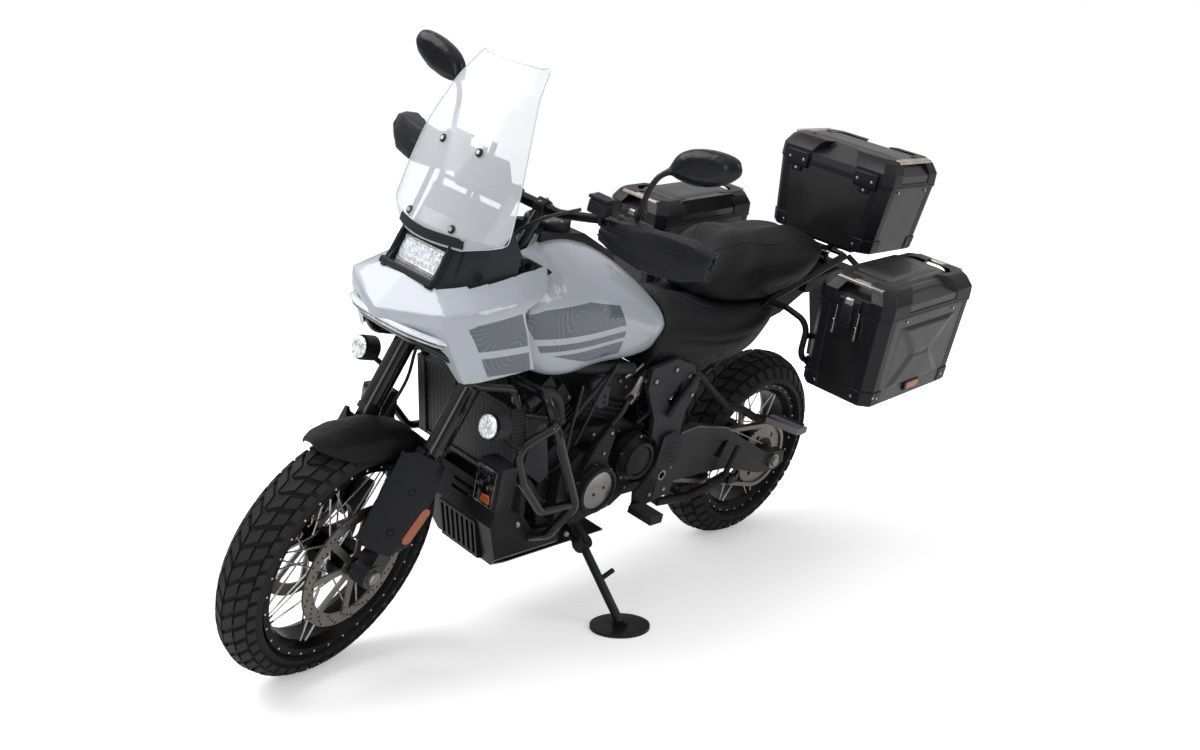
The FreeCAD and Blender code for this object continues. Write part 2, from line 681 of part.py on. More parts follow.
def main_frame():
    """The steering head and the two pairs of tubes that join it to the engine."""
    head = Part.makeCylinder(36, UPPER_CLAMP_S - LOWER_CLAMP_S - CLAMP_T - 2,
                             V(STEM_X, 0, LOWER_CLAMP_S + CLAMP_T + 1), Z)
    bore = Part.makeCylinder(STEM_R + RUNNING_CLEARANCE, 400, V(STEM_X, 0, 480), Z)
    parts = [fork_place(head)]
    for side in (1, -1):
        parts.append(tube([(1240, side * 20, 930), (1150, side * 76, 860), (1000, side * 112, 760),
                           (770, side * 122, 730)], 17, 60))
        parts.append(tube([(1268, side * 20, 870), (1200, side * 74, 790), (1150, side * 104, 700),
                           (1120, side * 104, 600)], 17, 60))
        parts.append(rod((1176, side * 70, 880), (1176, side * 88, 760), 11))
    frame = fused(parts)
    return frame.cut(fork_place(bore))


def side_plates():
    """Cast plates each side that hold the swingarm pivot, pegs and seat frame."""
    outline = [(742, 742), (640, 760), (560, 728), (520, 660), (556, 590), (560, 470), (530, 400),
               (540, 330), (610, 320), (660, 352), (672, 470), (690, 590), (742, 680)]
    body = plate(outline, PLATE_IN_Y, PLATE_OUT_Y)
    hole = Part.makeCylinder(16, 60, V(PIVOT[0], SWING_OUT_Y - 10, PIVOT[1]), Y)
    window = plate([(650, 640), (600, 690), (590, 640), (620, 600)], 100, 200)
    cover = Part.makeCylinder(SPROCKET_COVER_R + 3, 60, V(SPROCKET_COVER[0], 140, SPROCKET_COVER[1]), Y)
    return both(body.cut(hole).cut(window).cut(cover))


def swingarm_pivot():
    """The hollow bolt that the swingarm turns on, from one frame plate to the other."""
    bolt = Part.makeCylinder(16, 2 * PIVOT_REACH, V(PIVOT[0], -PIVOT_REACH, PIVOT[1]), Y)
    bore = Part.makeCylinder(10, 2 * PIVOT_REACH + 2, V(PIVOT[0], -PIVOT_REACH - 1, PIVOT[1]), Y)
    return bolt.cut(bore)


def swingarm():
    """A deep cast arm each side of the wheel, joined in front of the tyre."""
    arm = [(650, 372), (652, 430), (600, 470), (520, 505), (440, 512), (300, 484), (120, 392),
           (40, 352), (-62, 340), (-74, 300), (-40, 278), (60, 284), (240, 338), (380, 348), (560, 350)]
    side = plate(arm, SWING_IN_Y, SWING_OUT_Y)
    slot = plate([(330, 396), (300, 440), (270, 440), (296, 384)], 100, 200)
    side = side.cut(slot)
    bridge = box(392, 470, -SWING_IN_Y - 1, SWING_IN_Y + 1, 348, 434)
    arms = fused([side, mirrored(side), bridge])
    for centre in (PIVOT, (0, REAR_TYRE_R)):
        r = 16 if centre == PIVOT else REAR_AXLE_R
        arms = arms.cut(Part.makeCylinder(r, 400, V(centre[0], -200, centre[1]), Y))
    return arms


def rear_axle():
    reach = SWING_OUT_Y + 14
    z = REAR_TYRE_R
    body = [
        Part.makeCylinder(REAR_AXLE_R, 2 * reach, V(0, -reach, z), Y),
        Part.makeCylinder(24, 12, V(0, SWING_OUT_Y, z), Y),
        Part.makeCylinder(24, 12, V(0, -SWING_OUT_Y - 12, z), Y),
        Part.makeCylinder(20, SWING_IN_Y - 106, V(0, 106, z), Y),
        Part.makeCylinder(20, SWING_IN_Y - 82, V(0, -SWING_IN_Y, z), Y),
    ]
    return fused(body).cut(Part.makeCylinder(AXLE_BORE_R, 2 * reach + 2, V(0, -reach - 1, z), Y))


def seat_frame():
    """The tube frame under the seats and its lower struts."""
    parts = []
    for side in (1, -1):
        parts.append(tube([(668, side * 128, 742), (480, side * 128, 690), (200, side * 128, 880),
                           (-160, side * 118, 985)], 12, 70))
        parts.append(rod((600, side * 146, 585), (500, side * 132, 690), 11))
        parts.append(tube([(500, side * 132, 690), (330, side * 148, 560), (262, side * 166, 545)], 11, 40))
        parts.append(rod((600, side * 138, 585), (600, side * PLATE_IN_Y, 585), 15))
    for x, z in ((120, 905), (-90, 965), (560, 712)):
        parts.append(rod((x, -126, z), (x, 126, z), 10))
    return fused(parts)


def case_racks():
    """The tail rack, the loops beside the wheel and the plate under the top case."""
    parts = []
    for side in (1, -1):
        parts.append(tube([(215, side * 132, 872), (225, side * 200, 880), (225, side * 284, 862),
                           (225, side * 284, 745), (-150, side * 284, 738), (-190, side * 284, 905),
                           (-180, side * 120, 985)], 9, 46))
        parts.append(rod((225, side * 284, 820), (-185, side * 284, 850), 8))
        parts.append(rod((-60, side * 60, 994), (-420, side * 60, 1000), 9))
        for px, pz in ((190, 823), (-150, 847), (180, 744), (-110, 739)):
            parts.append(rod((px, side * 284, pz), (px, side * (300 - GAP), pz), 14))
    deck = box(-430, -170, -130, 130, 1004, 1014).rotated(V(-300, 0, 1009), Y, 2)
    parts += [deck, rod((-70, -110, 993), (-70, 110, 993), 8), rod((-160, -110, 990), (-160, 110, 990), 8)]
    for side in (1, -1):
        parts.append(rod((-70, side * 106, 993), (-70, side * 121, 962), 8))
    return fused(parts)


def engine():
    """Crankcase, gearbox and sump in one: the heavy mass of the machine."""
    case = [(1010, 310), (1040, 400), (1030, 520), (960, 570), (860, 570), (720, 560), (640, 520),
            (622, 440), (640, 350), (720, 300), (820, 284), (960, 284)]
    body = plate(case, -112, 112)
    covers = plate([(990, 330), (1000, 470), (940, 520), (840, 520), (800, 430), (840, 330), (900, 305)],
                   -150, 150)
    gearbox = plate([(800, 330), (820, 470), (740, 530), (670, 500), (662, 420), (700, 350)], -140, 128)
    chain_room = plate([(560, 330), (700, 366), (752, 400), (770, 430), (752, 470), (700, 492), (560, 488)],
                       SPROCKET_Y - CHAIN_W / 2 - 6, SPROCKET_Y + CHAIN_W / 2 + 6)
    return fused([body, covers, gearbox]).cut(chain_room)


def cylinder(tilt, reach):
    """One finned cylinder with its head and cam cover, leaning by tilt from upright."""
    barrel = box(-88, 88, -80, 80, 120, 235)
    head = box(-100, 100, -104, 104, 235, 300)
    cover = box(-84, 84, -96, 96, 300, reach)
    fins = [box(-94, 94, -86, 86, z, z + 5) for z in (150, 166, 182, 198, 214)]
    body = fused([barrel, head, cover] + fins)
    return body.rotated(ORIGIN, Y, tilt).translated(V(880, 0, 423))


def round_cover(x, z, y, outer, inner, depth):
    body = Part.makeCylinder(outer, depth * 0.6, V(x, y, z), Y)
    cap = Part.makeCone(outer - 6, inner, depth * 0.4, V(x, y + depth * 0.6, z), Y)
    return fused([body, cap])


def skid_plate():
    """A pressed plate under the engine with slots in its raised front."""
    outline = [(1180, 440), (1196, 350), (1150, 222), (1092, 208), (720, 214), (720, 250), (900, 300),
               (1040, 306), (1100, 380), (1120, 430)]
    body = plate(outline, -128, 128)
    hollow = plate([(1174, 450), (1189, 350), (1145, 228), (1090, 215), (700, 221), (700, 600),
                    (1150, 600)], -121, 121)
    side_trim = plate([(1210, 450), (1210, 300), (1150, 200)], 76, 140)
    body = body.cut(hollow)
    for z in (392, 414):
        body = body.cut(box(1150, 1220, -44, 44, z - 4, z + 4))
    body = body.cut(box(830, 930, 100, 140, 224, 320))
    block = plate([(1186, 346), (1198, 340), (1166, 228), (1140, 222)], -72, 72)
    for y in range(-60, 61, 20):
        block = block.cut(box(1172, 1220, y - 5, y + 5, 236, 334).rotated(V(1186, 0, 285), Y, 16))
    body = body.fuse(block)
    for side in (-1, 1):
        corner = slab([(side * 128, 200), (side * 128, 250), (side * 92, 200)], 700, 1200)
        body = body.cut(corner)
    return body


def radiator():
    """The cooling core in its frame, with tanks at both ends."""
    core = box(-14, 14, -158, 158, -104, 104)
    tanks = [box(-20, 20, side * 170 - 14, side * 170 + 14, -112, 112) for side in (-1, 1)]
    rails = [box(-18, 18, -158, 158, z - 6, z + 6) for z in (-108, 108)]
    body = fused([core] + tanks + rails)
    return body.rotated(ORIGIN, Y, 12).translated(V(1208, 0, 606))


def engine_guard():
    """The crash bar on the left: a main hoop and a forward loop, welded."""
    r = 13
    main = tube([(1176, 92, 742), (1178, 215, 752), (1158, 262, 648), (1052, 262, 452), (1046, 190, 330),
                 (1050, 125, 290)], r, 46)
    loop = tube([(1168, 250, 690), (1190, 270, 694), (1300, 262, 652), (1262, 268, 560), (1176, 262, 462),
                 (1068, 258, 456)], r - 2, 40)
    strut = rod((1166, 246, 700), (1204, 172, 690), 8)
    return fused([main, loop, strut])


def nose_guard():
    """The bar under the nose that carries the round lamps."""
    r = 11
    bar = tube([(1222, 170, 700), (1262, 184, 768), (1400, 182, 796), (1452, 168, 862), (1506, 96, 884),
                (1512, 0, 886)], r, 60)
    return fused([bar, mirrored(bar)])


def round_lamp():
    body = rod((1344, 246, 712), (1380, 246, 719), 32)
    glass = rod((1380, 246, 719), (1388, 246, 721), 28)
    stay = rod((1352, 246, 700), (1290, 262, 652), 7)
    return fused([body, glass, stay])


def square_lamp():
    body = box(1288, 1338, 190, 270, 500, 610)
    face = box(1338, 1344, 196, 264, 506, 604)
    stay = rod((1296, 250, 570), (1250, 266, 556), 8)
    return fused([body, face, stay])


def frame_struts():
    return both(rod((640, PLATE_OUT_Y + 9.3, 592), (548, PLATE_OUT_Y + 9.3, 700), 9))


# Exhaust, tail and pegs


def exhaust_headers():
    """Two pipes from the cylinder heads, joined under the engine, to the muffler on the right."""
    front = tube([(1126, -50, 560), (1132, -56, 500), (1100, -70, 400), (1064, -70, 300), (1000, -60, 246),
                  (760, -60, 246), (640, -112, 262), (540, -176, 300), (440, -214, 350), (296, -226, 410)],
                 20, 60)
    rear = tube([(708, -50, 650), (660, -62, 630), (604, -92, 590), (556, -96, 520), (550, -94, 400),
                 (548, -96, 322), (530, -178, 304)], 16, 40)
    return fused([front, rear])


def muffler():
    body = rod((320, -226, 404), (-130, -240, 510), 56)
    tip = rod((-130, -240, 510), (-152, -240.7, 515), 30)
    bore = rod((-160, -240.9, 517), (-110, -239.4, 505), 24)
    return fused([body, tip]).cut(bore)


def rear_fender():
    """The tail moulding over the tyre and the bare plate holder behind it."""
    tray = plate([(160, 800), (150, 850), (0, 905), (-180, 940), (-300, 930), (-318, 905),
                  (-180, 905), (0, 870), (100, 815)], -104, 104)
    stem = plate([(-250, 912), (-318, 906), (-400, 640), (-410, 560), (-396, 556), (-380, 640)], -60, 60)
    lugs = [box(-20, 20, min(side * 90, side * 122), max(side * 90, side * 122), 880, 938) for side in (-1, 1)]
    return fused([tray, stem] + lugs)


def tail_lamp():
    bar = box(-340, -322, -70, 70, 880, 912)
    stalks = [rod((-336, side * 70, 896), (-336, side * 150, 896), 7) for side in (-1, 1)]
    bulbs = [rod((-352, side * 160, 896), (-322, side * 160, 896), 20) for side in (-1, 1)]
    return fused([bar] + stalks + bulbs)


def rider_pegs():
    """Cast pegs on brackets seated on the frame plates, and perforated heel plates above the pivot."""
    inside = PLATE_OUT_Y + GAP
    outside = inside + PEG_BRACKET_T
    bracket = plate([(700, 300), (716, 372), (676, 400), (640, 452), (624, 440), (624, 330)],
                    inside, outside)
    peg = box(690, 738, 190, 276, 322, 342)
    mount = rod((700, inside + 2, 332), (700, 196, 332), 13)
    heel = plate([(628, 424), (576, 424), (556, 450), (556, 520), (600, 540), (640, 530), (650, 436)],
                 outside + GAP, outside + GAP + HEEL_PLATE_T)
    return both(joined([fused([bracket, peg, mount]), heel]))


def passenger_pegs():
    peg = box(170, 220, 222, 326, 520, 542).rotated(V(200, 222, 530), Z, 18)
    arm = tube([(262, 166, 545), (240, 200, 530), (205, 226, 530)], 12, 20)
    return both(fused([peg, arm]))


def rear_shock():
    """The damper with its spring, whose coils stand out as rings."""
    coils = [Part.makeCylinder(46, 11, V(0, 0, z), Z) for z in range(40, 184, 22)]
    body = fused([Part.makeCylinder(24, 316, V(0, 0, 0), Z), Part.makeCylinder(38, 170, V(0, 0, 20), Z),
                  Part.makeCylinder(48, 14, V(0, 0, 18), Z), Part.makeCylinder(48, 14, V(0, 0, 190), Z)] + coils)
    return body.rotated(ORIGIN, Y, 22.3).translated(V(440, 0, 420))


# Luggage


class Case:
    """The sizes of one hard case, in its own frame: bottom centre at the origin, lid up."""

    def __init__(self, length, width, height, lid, taper_x, taper_out, taper_in, top_x, top_out, top_in):
        self.length, self.width, self.height, self.lid = length, width, height, lid
        self.taper_x, self.taper_out, self.taper_in = taper_x, taper_out, taper_in
        self.top_x, self.top_out, self.top_in = top_x, top_out, top_in

    def outline(self, z, inset=0.0, corner=26.0):
        """The eight-cornered section at a height, smaller by an inset all round."""
        seam = self.height - self.lid
        if z <= seam:
            k = 1 - z / seam
            dx, out, inn = k * self.taper_x, k * self.taper_out, k * self.taper_in
        else:
            k = (z - seam) / self.lid
            dx, out, inn = k * self.top_x, k * self.top_out, k * self.top_in
        x0, x1 = -self.length / 2 + dx + inset, self.length / 2 - dx - inset
        y0, y1 = -self.width / 2 + inn + inset, self.width / 2 - out - inset
        c = corner - inset * 0.6
        pts = [(x0 + c, y0), (x1 - c, y0), (x1, y0 + c), (x1, y1 - c), (x1 - c, y1), (x0 + c, y1),
               (x0, y1 - c), (x0, y0 + c)]
        loop = [V(px, py, z) for px, py in pts]
        return Part.makePolygon(loop + loop[:1])

    def body(self):
        seam = self.height - self.lid
        outer = loft([self.outline(0), self.outline(seam)], ruled=True)
        inner = loft([self.outline(CASE_WALL, CASE_WALL), self.outline(seam, CASE_WALL)], ruled=True)
        above = loft([self.outline(seam - 0.01, CASE_WALL), self.outline(seam + 0.01, CASE_WALL)], ruled=True)
        return outer.cut(inner).cut(above)

    def cover(self):
        """The lid: a skirt, a bevelled rise and a flat top, as thick as the wall."""
        seam = self.height - self.lid
        skirt = seam + self.lid * 0.42
        low, shoulder = self.outline(seam), self.outline(seam)
        low = low.translated(V(0, 0, GAP))
        shoulder = shoulder.translated(V(0, 0, skirt - seam))
        outer = [loft([low, shoulder], ruled=True), loft([shoulder, self.outline(self.height)], ruled=True)]
        low_in = self.outline(seam, CASE_WALL).translated(V(0, 0, GAP))
        mid_in = self.outline(seam, CASE_WALL).translated(V(0, 0, skirt - seam - 1))
        top_in = self.outline(self.height, CASE_WALL).translated(V(0, 0, -CASE_WALL))
        inner = [loft([low_in, mid_in], ruled=True), loft([mid_in, top_in], ruled=True)]
        return fused(outer).cut(fused(inner))


TOP_CASE = Case(298, 416, 296, 75, 5, 24, 24, 70, 34, 34)
SIDE_CASE = Case(470, 236, 340, 72, 9, 11, 0, 88, 58, 16)
TOP_CASE_AT, TOP_CASE_PITCH = V(-307, 0, 1014.24 + GAP), 2.0
SIDE_CASE_AT, SIDE_CASE_PITCH = V(-6, 418, 712), 4.5


def top_case_place(shape):
    turned = shape.rotated(ORIGIN, Y, TOP_CASE_PITCH)
    return turned.translated(TOP_CASE_AT)


def side_case_place(shape, side):
    turned = shape.rotated(ORIGIN, Y, SIDE_CASE_PITCH).translated(SIDE_CASE_AT)
    return turned if side > 0 else mirrored(turned)


# Stands


def centre_stand():
    """Two legs with feet, a cross tube and the foot lever, folded up under the swingarm."""
    parts = []
    for side in (1, -1):
        parts.append(tube([(505, side * 112, 262), (380, side * 124, 258), (215, side * 138, 296)], 13, 60))
        parts.append(box(190, 226, side * 138 - 20, side * 138 + 20, 280, 304))
    parts.append(rod((500, -112, 262), (500, 112, 262), 13))
    parts.append(rod((400, -112, 262), (400, 112, 262), 10))
    parts.append(tube([(300, 134, 290), (280, 172, 330), (262, 184, 432)], 9, 26))
    return fused(parts)


def stand_bracket():
    """Lugs under the engine for the centre stand and the frame foot of the side stand."""
    parts = []
    for side in (1, -1):
        lug = plate([(474, 240), (534, 240), (560, 300), (560, 330), (530, 330), (474, 290)],
                    side * 72 - 6, side * 72 + 6)
        parts.append(lug)
    parts.append(box(540, 700, -80, 80, 300, 330))
    body = fused(parts)
    return body.cut(rod((500, -130, 262), (500, 130, 262), 13 + RUNNING_CLEARANCE))


# Parked pose: steered to rest, leaned on the stand, both tyres on the floor

rake_rad = math.radians(RAKE)
STEER_AXIS = V(-math.sin(rake_rad), 0, math.cos(rake_rad))
STEER_POINT = V(WHEELBASE - FORK_OFFSET * math.cos(rake_rad), 0,
                FRONT_TYRE_R - FORK_OFFSET * math.sin(rake_rad))
FRONT_CENTRE = V(WHEELBASE, 0, FRONT_TYRE_R)
REAR_CENTRE = V(0, 0, REAR_TYRE_R)
steer_place = FreeCAD.Placement(ORIGIN, FreeCAD.Rotation(STEER_AXIS, STEER_AT_REST), STEER_POINT)


def lean_place(pitch, lift):
    turn = FreeCAD.Rotation(X, -LEAN).multiply(FreeCAD.Rotation(Y, pitch))
    return FreeCAD.Placement(V(0, 0, lift), turn)


def lowest(place, centre, axis, outer_r, crown_r):
    """The lowest point of a tyre's round crown, with the wheel's axis anywhere."""
    c = place.multVec(centre)
    a = place.Rotation.multVec(axis)
    return c.z - (outer_r - crown_r) * math.sqrt(1 - a.z**2) - crown_r


front_centre_steered = steer_place.multVec(FRONT_CENTRE)
front_axis_steered = steer_place.Rotation.multVec(Y)
pitch_deg, lift_mm = 0.0, 0.0
for _ in range(8):
    trial = lean_place(pitch_deg, lift_mm)
    low_rear = lowest(trial, REAR_CENTRE, Y, REAR_TYRE_R, REAR_CROWN_R)
    low_front = lowest(trial, front_centre_steered, front_axis_steered, FRONT_TYRE_R, FRONT_CROWN_R)
    pitch_deg += math.degrees((low_front - low_rear) / WHEELBASE)
    lift_mm -= low_rear
PARKED = lean_place(pitch_deg, lift_mm)
UPRIGHT = PARKED.inverse()

# Side stand, in the parked pose, where its foot lies flat on the floor
STAND_PIVOT = V(880, 229, 197)
STAND_FOOT = V(885, 373, 0)
STAND_AXIS = V(-0.05, 0.79, 0.61).normalize()
STAND_FOOT_R, STAND_FOOT_T = 80.0, 8.0
STAND_LEG_R = 12.0
STAND_PIN_R = 9.0


def side_stand():
    """A leg with its broad foot and toe tang, on a pin across the bracket."""
    top = STAND_PIVOT
    foot = STAND_FOOT
    up = STAND_AXIS
    leg_end = V(foot.x, foot.y, STAND_LEG_R + 1)
    parts = [
        Part.makeCylinder(STAND_FOOT_R, STAND_FOOT_T, foot, Z),
        Part.makeCylinder(20, 16, V(foot.x, foot.y, 0), Z),
        rod(tuple(top), tuple(leg_end), STAND_LEG_R),
        Part.makeCylinder(22, 18, top - up * 9, up),
    ]
    tang_root = top + (foot - top) * 0.45
    parts.append(rod(tuple(tang_root), (tang_root.x - 46, tang_root.y + 10, tang_root.z + 20), 7))
    body = fused(parts).cut(Part.makeCylinder(STAND_PIN_R + RUNNING_CLEARANCE, 60, top - up * 30, up))
    for side in (-1, 1):
        room = Part.makeCylinder(23, 30, top + up * (side * 9), up * side)
        body = body.cut(room)
    return body


def side_stand_mount():
    """The forked lug and pin that carry the side stand, bolted under the engine."""
    up = STAND_AXIS
    ears = [Part.makeCylinder(22, 8, STAND_PIVOT + up * 9.5, up),
            Part.makeCylinder(22, 8, STAND_PIVOT - up * 17.5, up)]
    pin = Part.makeCylinder(STAND_PIN_R, 42, STAND_PIVOT - up * 21, up)
    inside = PARKED.multVec(V(880, 100, 290))
    arms = [rod(tuple(STAND_PIVOT + up * 19), tuple(inside + up * 16), 9),
            rod(tuple(STAND_PIVOT - up * 19), tuple(inside - up * 16), 9)]
    slot = Part.makeCylinder(60, 18.8, STAND_PIVOT - up * 9.4, up)
    return fused(ears + arms).cut(slot).fuse(pin).removeSplitter()


def moved(shape, placement):
    out = shape.copy()
    out.Placement = placement.multiply(out.Placement)
    return out


def joined(shapes):
    """Several solids that make up one piece, without touching."""
    return Part.makeCompound([solid for shape in shapes for solid in shape.Solids])


def parked(shape, steered=False):
    return moved(moved(shape, steer_place) if steered else shape, PARKED)


def engine_covers():
    alternator = round_cover(889, 423, 150, 74, 60, 42)
    sprocket_side = round_cover(*SPROCKET_COVER, 128, SPROCKET_COVER_R, 50, 44)
    clutch = mirrored(round_cover(820, 420, 150, 92, 70, 40))
    return joined([alternator, sprocket_side, clutch])


CHASSIS = {
    "main_frame": main_frame,
    "frame_side_plates": lambda: joined([side_plates(), frame_struts()]),
    "swingarm_pivot": swingarm_pivot,
    "swingarm": swingarm,
    "rear_axle": rear_axle,
    "seat_frame": seat_frame,
    "case_racks": case_racks,
    "engine": engine,
    "cylinders": lambda: fused([cylinder(42, 345), cylinder(-18, 330)]),
    "engine_covers": engine_covers,
    "skid_plate": skid_plate,
    "radiator": radiator,
    "engine_guards": lambda: both(engine_guard()),
    "nose_guard": nose_guard,
    "auxiliary_lamps": lambda: joined([both(round_lamp()), both(square_lamp())]),
    "front_fairing": front_fairing,
    "headlamp_housing": lambda: fused([headlamp_pod(), screen_brackets()]),
    "headlamp_lens": headlamp_lens,
    "windscreen": windscreen,
    "instrument": instrument,
    "fuel_tank": fuel_tank,
    "tank_console": tank_console,
    "rider_seat": rider_seat,
    "passenger_seat": passenger_seat,
    "exhaust_headers": exhaust_headers,
    "muffler": muffler,
    "rear_fender": rear_fender,
    "tail_lamp": tail_lamp,
    "foot_pegs": lambda: joined([rider_pegs(), passenger_pegs()]),
    "rear_shock": rear_shock,
    "drive_chain": final_drive,
    "stand_bracket": stand_bracket,
    "top_case": lambda: top_case_place(TOP_CASE.body()),
    "left_case": lambda: side_case_place(SIDE_CASE.body(), 1),
    "right_case": lambda: side_case_place(SIDE_CASE.body(), -1),
}
STEERED = {
    "handlebar": handlebar,
    "fork": lambda: joined([fork_place(fork_legs()), fork_place(triple_clamps())]),
    "front_axle": lambda: fork_place(front_axle()),
    "fork_guards": lambda: fork_place(fork_guards()),
    "front_fender": lambda: fork_place(front_fender()),
    "brake_calipers": lambda: fork_place(both(calipers())),
    "hand_guards": hand_guards,
    "mirrors": mirrors,
}
FRONT_TURNING = {
    "front_tyre": lambda: tyre(FRONT_TYRE_R, FRONT_TYRE_HALF_W, FRONT_CROWN_R, FRONT_BEAD_R,
                               FRONT_BEAD_HALF_W),
    "front_wheel": lambda: wheel_frame(FRONT_BEAD_R, FRONT_BEAD_HALF_W, FRONT_DISC_Y - DISC_T / 2, 34,
                                       50, 26).cut(
        Part.makeCylinder(AXLE_R + RUNNING_CLEARANCE, 200, V(0, -100, 0), Y)),
    "front_discs": lambda: both(disc(FRONT_DISC_R, 32, FRONT_DISC_Y, 8, 24)),
}
def rear_wheel():
    """The rear wheel with the carrier on its left, which the chain wheel is bolted to."""
    carrier = Part.makeCylinder(66, SPROCKET_Y - SPROCKET_T / 2 - 70, V(0, 70, 0), Y)
    boss = Part.makeCylinder(SPROCKET_HOLE_R - GAP, 40, V(0, 65, 0), Y)
    body = fused([wheel_frame(REAR_BEAD_R, REAR_BEAD_HALF_W, 73, 44, 62, 46), carrier, boss])
    return body.cut(Part.makeCylinder(REAR_AXLE_R + RUNNING_CLEARANCE, 400, V(0, -200, 0), Y))


REAR_TURNING = {
    "rear_tyre": lambda: tyre(REAR_TYRE_R, REAR_TYRE_HALF_W, REAR_CROWN_R, REAR_BEAD_R,
                              REAR_BEAD_HALF_W),
    "rear_wheel": rear_wheel,
    "rear_disc": lambda: mirrored(disc(REAR_DISC_R, 30, REAR_DISC_Y, 6, 34)),
    "rear_sprocket": lambda: sprocket(SPROCKET_Y, REAR_TEETH, CHAIN_PITCH),
}


# What each piece is cut to where it meets its neighbours, in the order of the cuts
SEATED = (
    ("cylinders", ("engine",)),
    ("exhaust_headers", ("engine", "cylinders", "muffler")),
    ("main_frame", ("engine", "cylinders")),
    ("fuel_tank", ("main_frame",)),
    ("tank_console", ("fuel_tank",)),
    ("passenger_seat", ("seat_frame", "rear_fender")),
    ("rear_shock", ("swingarm", "seat_frame")),
    ("rider_seat", ("fuel_tank", "seat_frame", "passenger_seat", "rear_shock", "cylinders")),
    ("headlamp_housing", ("windscreen",)),
    ("front_fairing", ("headlamp_housing", "fuel_tank", "nose_guard")),
    ("engine_guards", ("main_frame", "skid_plate", "radiator")),
    ("nose_guard", ("radiator",)),
    ("auxiliary_lamps", ("engine_guards",)),
    ("case_racks", ("seat_frame",)),
    ("rear_fender", ("seat_frame",)),
    ("skid_plate", ()),
    ("foot_pegs", ("seat_frame",)),
    ("tail_lamp", ("rear_fender",)),
    ("stand_bracket", ("engine",)),
    ("fork", ("handlebar",)),
    ("fork_guards", ("fork",)),
    ("front_fender", ("fork",)),
    ("brake_calipers", ("fork",)),
    ("hand_guards", ("handlebar",)),
    ("mirrors", ("handlebar",)),
)
# A solid left over by a cut that is smaller than this share of the largest one is waste
WASTE_SHARE = 0.04
HINGE_OUT, HINGE_UP = 3.0, 2.0
EDGE_TOLERANCE = 0.5


def steering_room(radius, low, high):
    """A cylinder about the steering axis, between two heights along the fork."""
    return fork_place(Part.makeCylinder(radius, high - low, V(STEM_X, 0, low), Z))


def seat(shapes):
    """Cut each piece to its neighbours, and make room for the fork and the bar risers to swing."""
    clamp_reach = math.hypot(FORK_Y, TUBE_X - STEM_X) + FORK_TUBE_R + 15
    riser_reach = 66
    rooms = [steering_room(clamp_reach, LOWER_CLAMP_S - 90, TUBE_TOP_S + 8),
             steering_room(riser_reach, TUBE_TOP_S, BAR_S)]
    for name in ("fuel_tank", "headlamp_housing", "tank_console"):
        for room in rooms:
            shapes[name] = shapes[name].cut(room)
    for name, neighbours in SEATED:
        for other in neighbours:
            shapes[name] = shapes[name].cut(shapes[other])
        largest = max(solid.Volume for solid in shapes[name].Solids)
        kept = [solid for solid in shapes[name].Solids if solid.Volume > WASTE_SHARE * largest]
        shapes[name] = joined(kept)
    return shapes


def joint_lines(shift):
    """Where each joint turns and the way it turns, in the finished piece's own frame."""
    def line(point, axis, moving=PARKED):
        at = moving.multVec(point) + shift
        along = moving.Rotation.multVec(axis).normalize()
        return {"pos_m": [round(c / 1000, 6) for c in at], "axis": [round(c, 6) for c in along]}

    steered = PARKED.multiply(steer_place)
    fold = {"pos_m": [round(c / 1000, 6) for c in STAND_PIVOT + shift],
            "axis": [round(c, 6) for c in STAND_AXIS]}
    lids = {}
    for name, case, place in (
        ("top_case_hinge", TOP_CASE, top_case_place),
        ("left_case_hinge", SIDE_CASE, lambda s: side_case_place(s, 1)),
        ("right_case_hinge", SIDE_CASE, lambda s: side_case_place(s, -1)),
    ):
        seam = case.height - case.lid
        mark = place(Part.Vertex(-case.length / 2 - HINGE_OUT, 0, seam + HINGE_UP)).Point
        lids[name] = line(mark, -Y)
    return {
        "steering": line(STEER_POINT, STEER_AXIS),
        "front_wheel_axle": line(FRONT_CENTRE, Y, steered),
        "rear_wheel_axle": line(REAR_CENTRE, Y),
        "side_stand_pivot": fold,
        "centre_stand_pivot": line(V(500, 0, 262), Y),
        **lids,
        "steering_range_deg": [-STEER_LOCK - STEER_AT_REST, STEER_LOCK - STEER_AT_REST],
    }


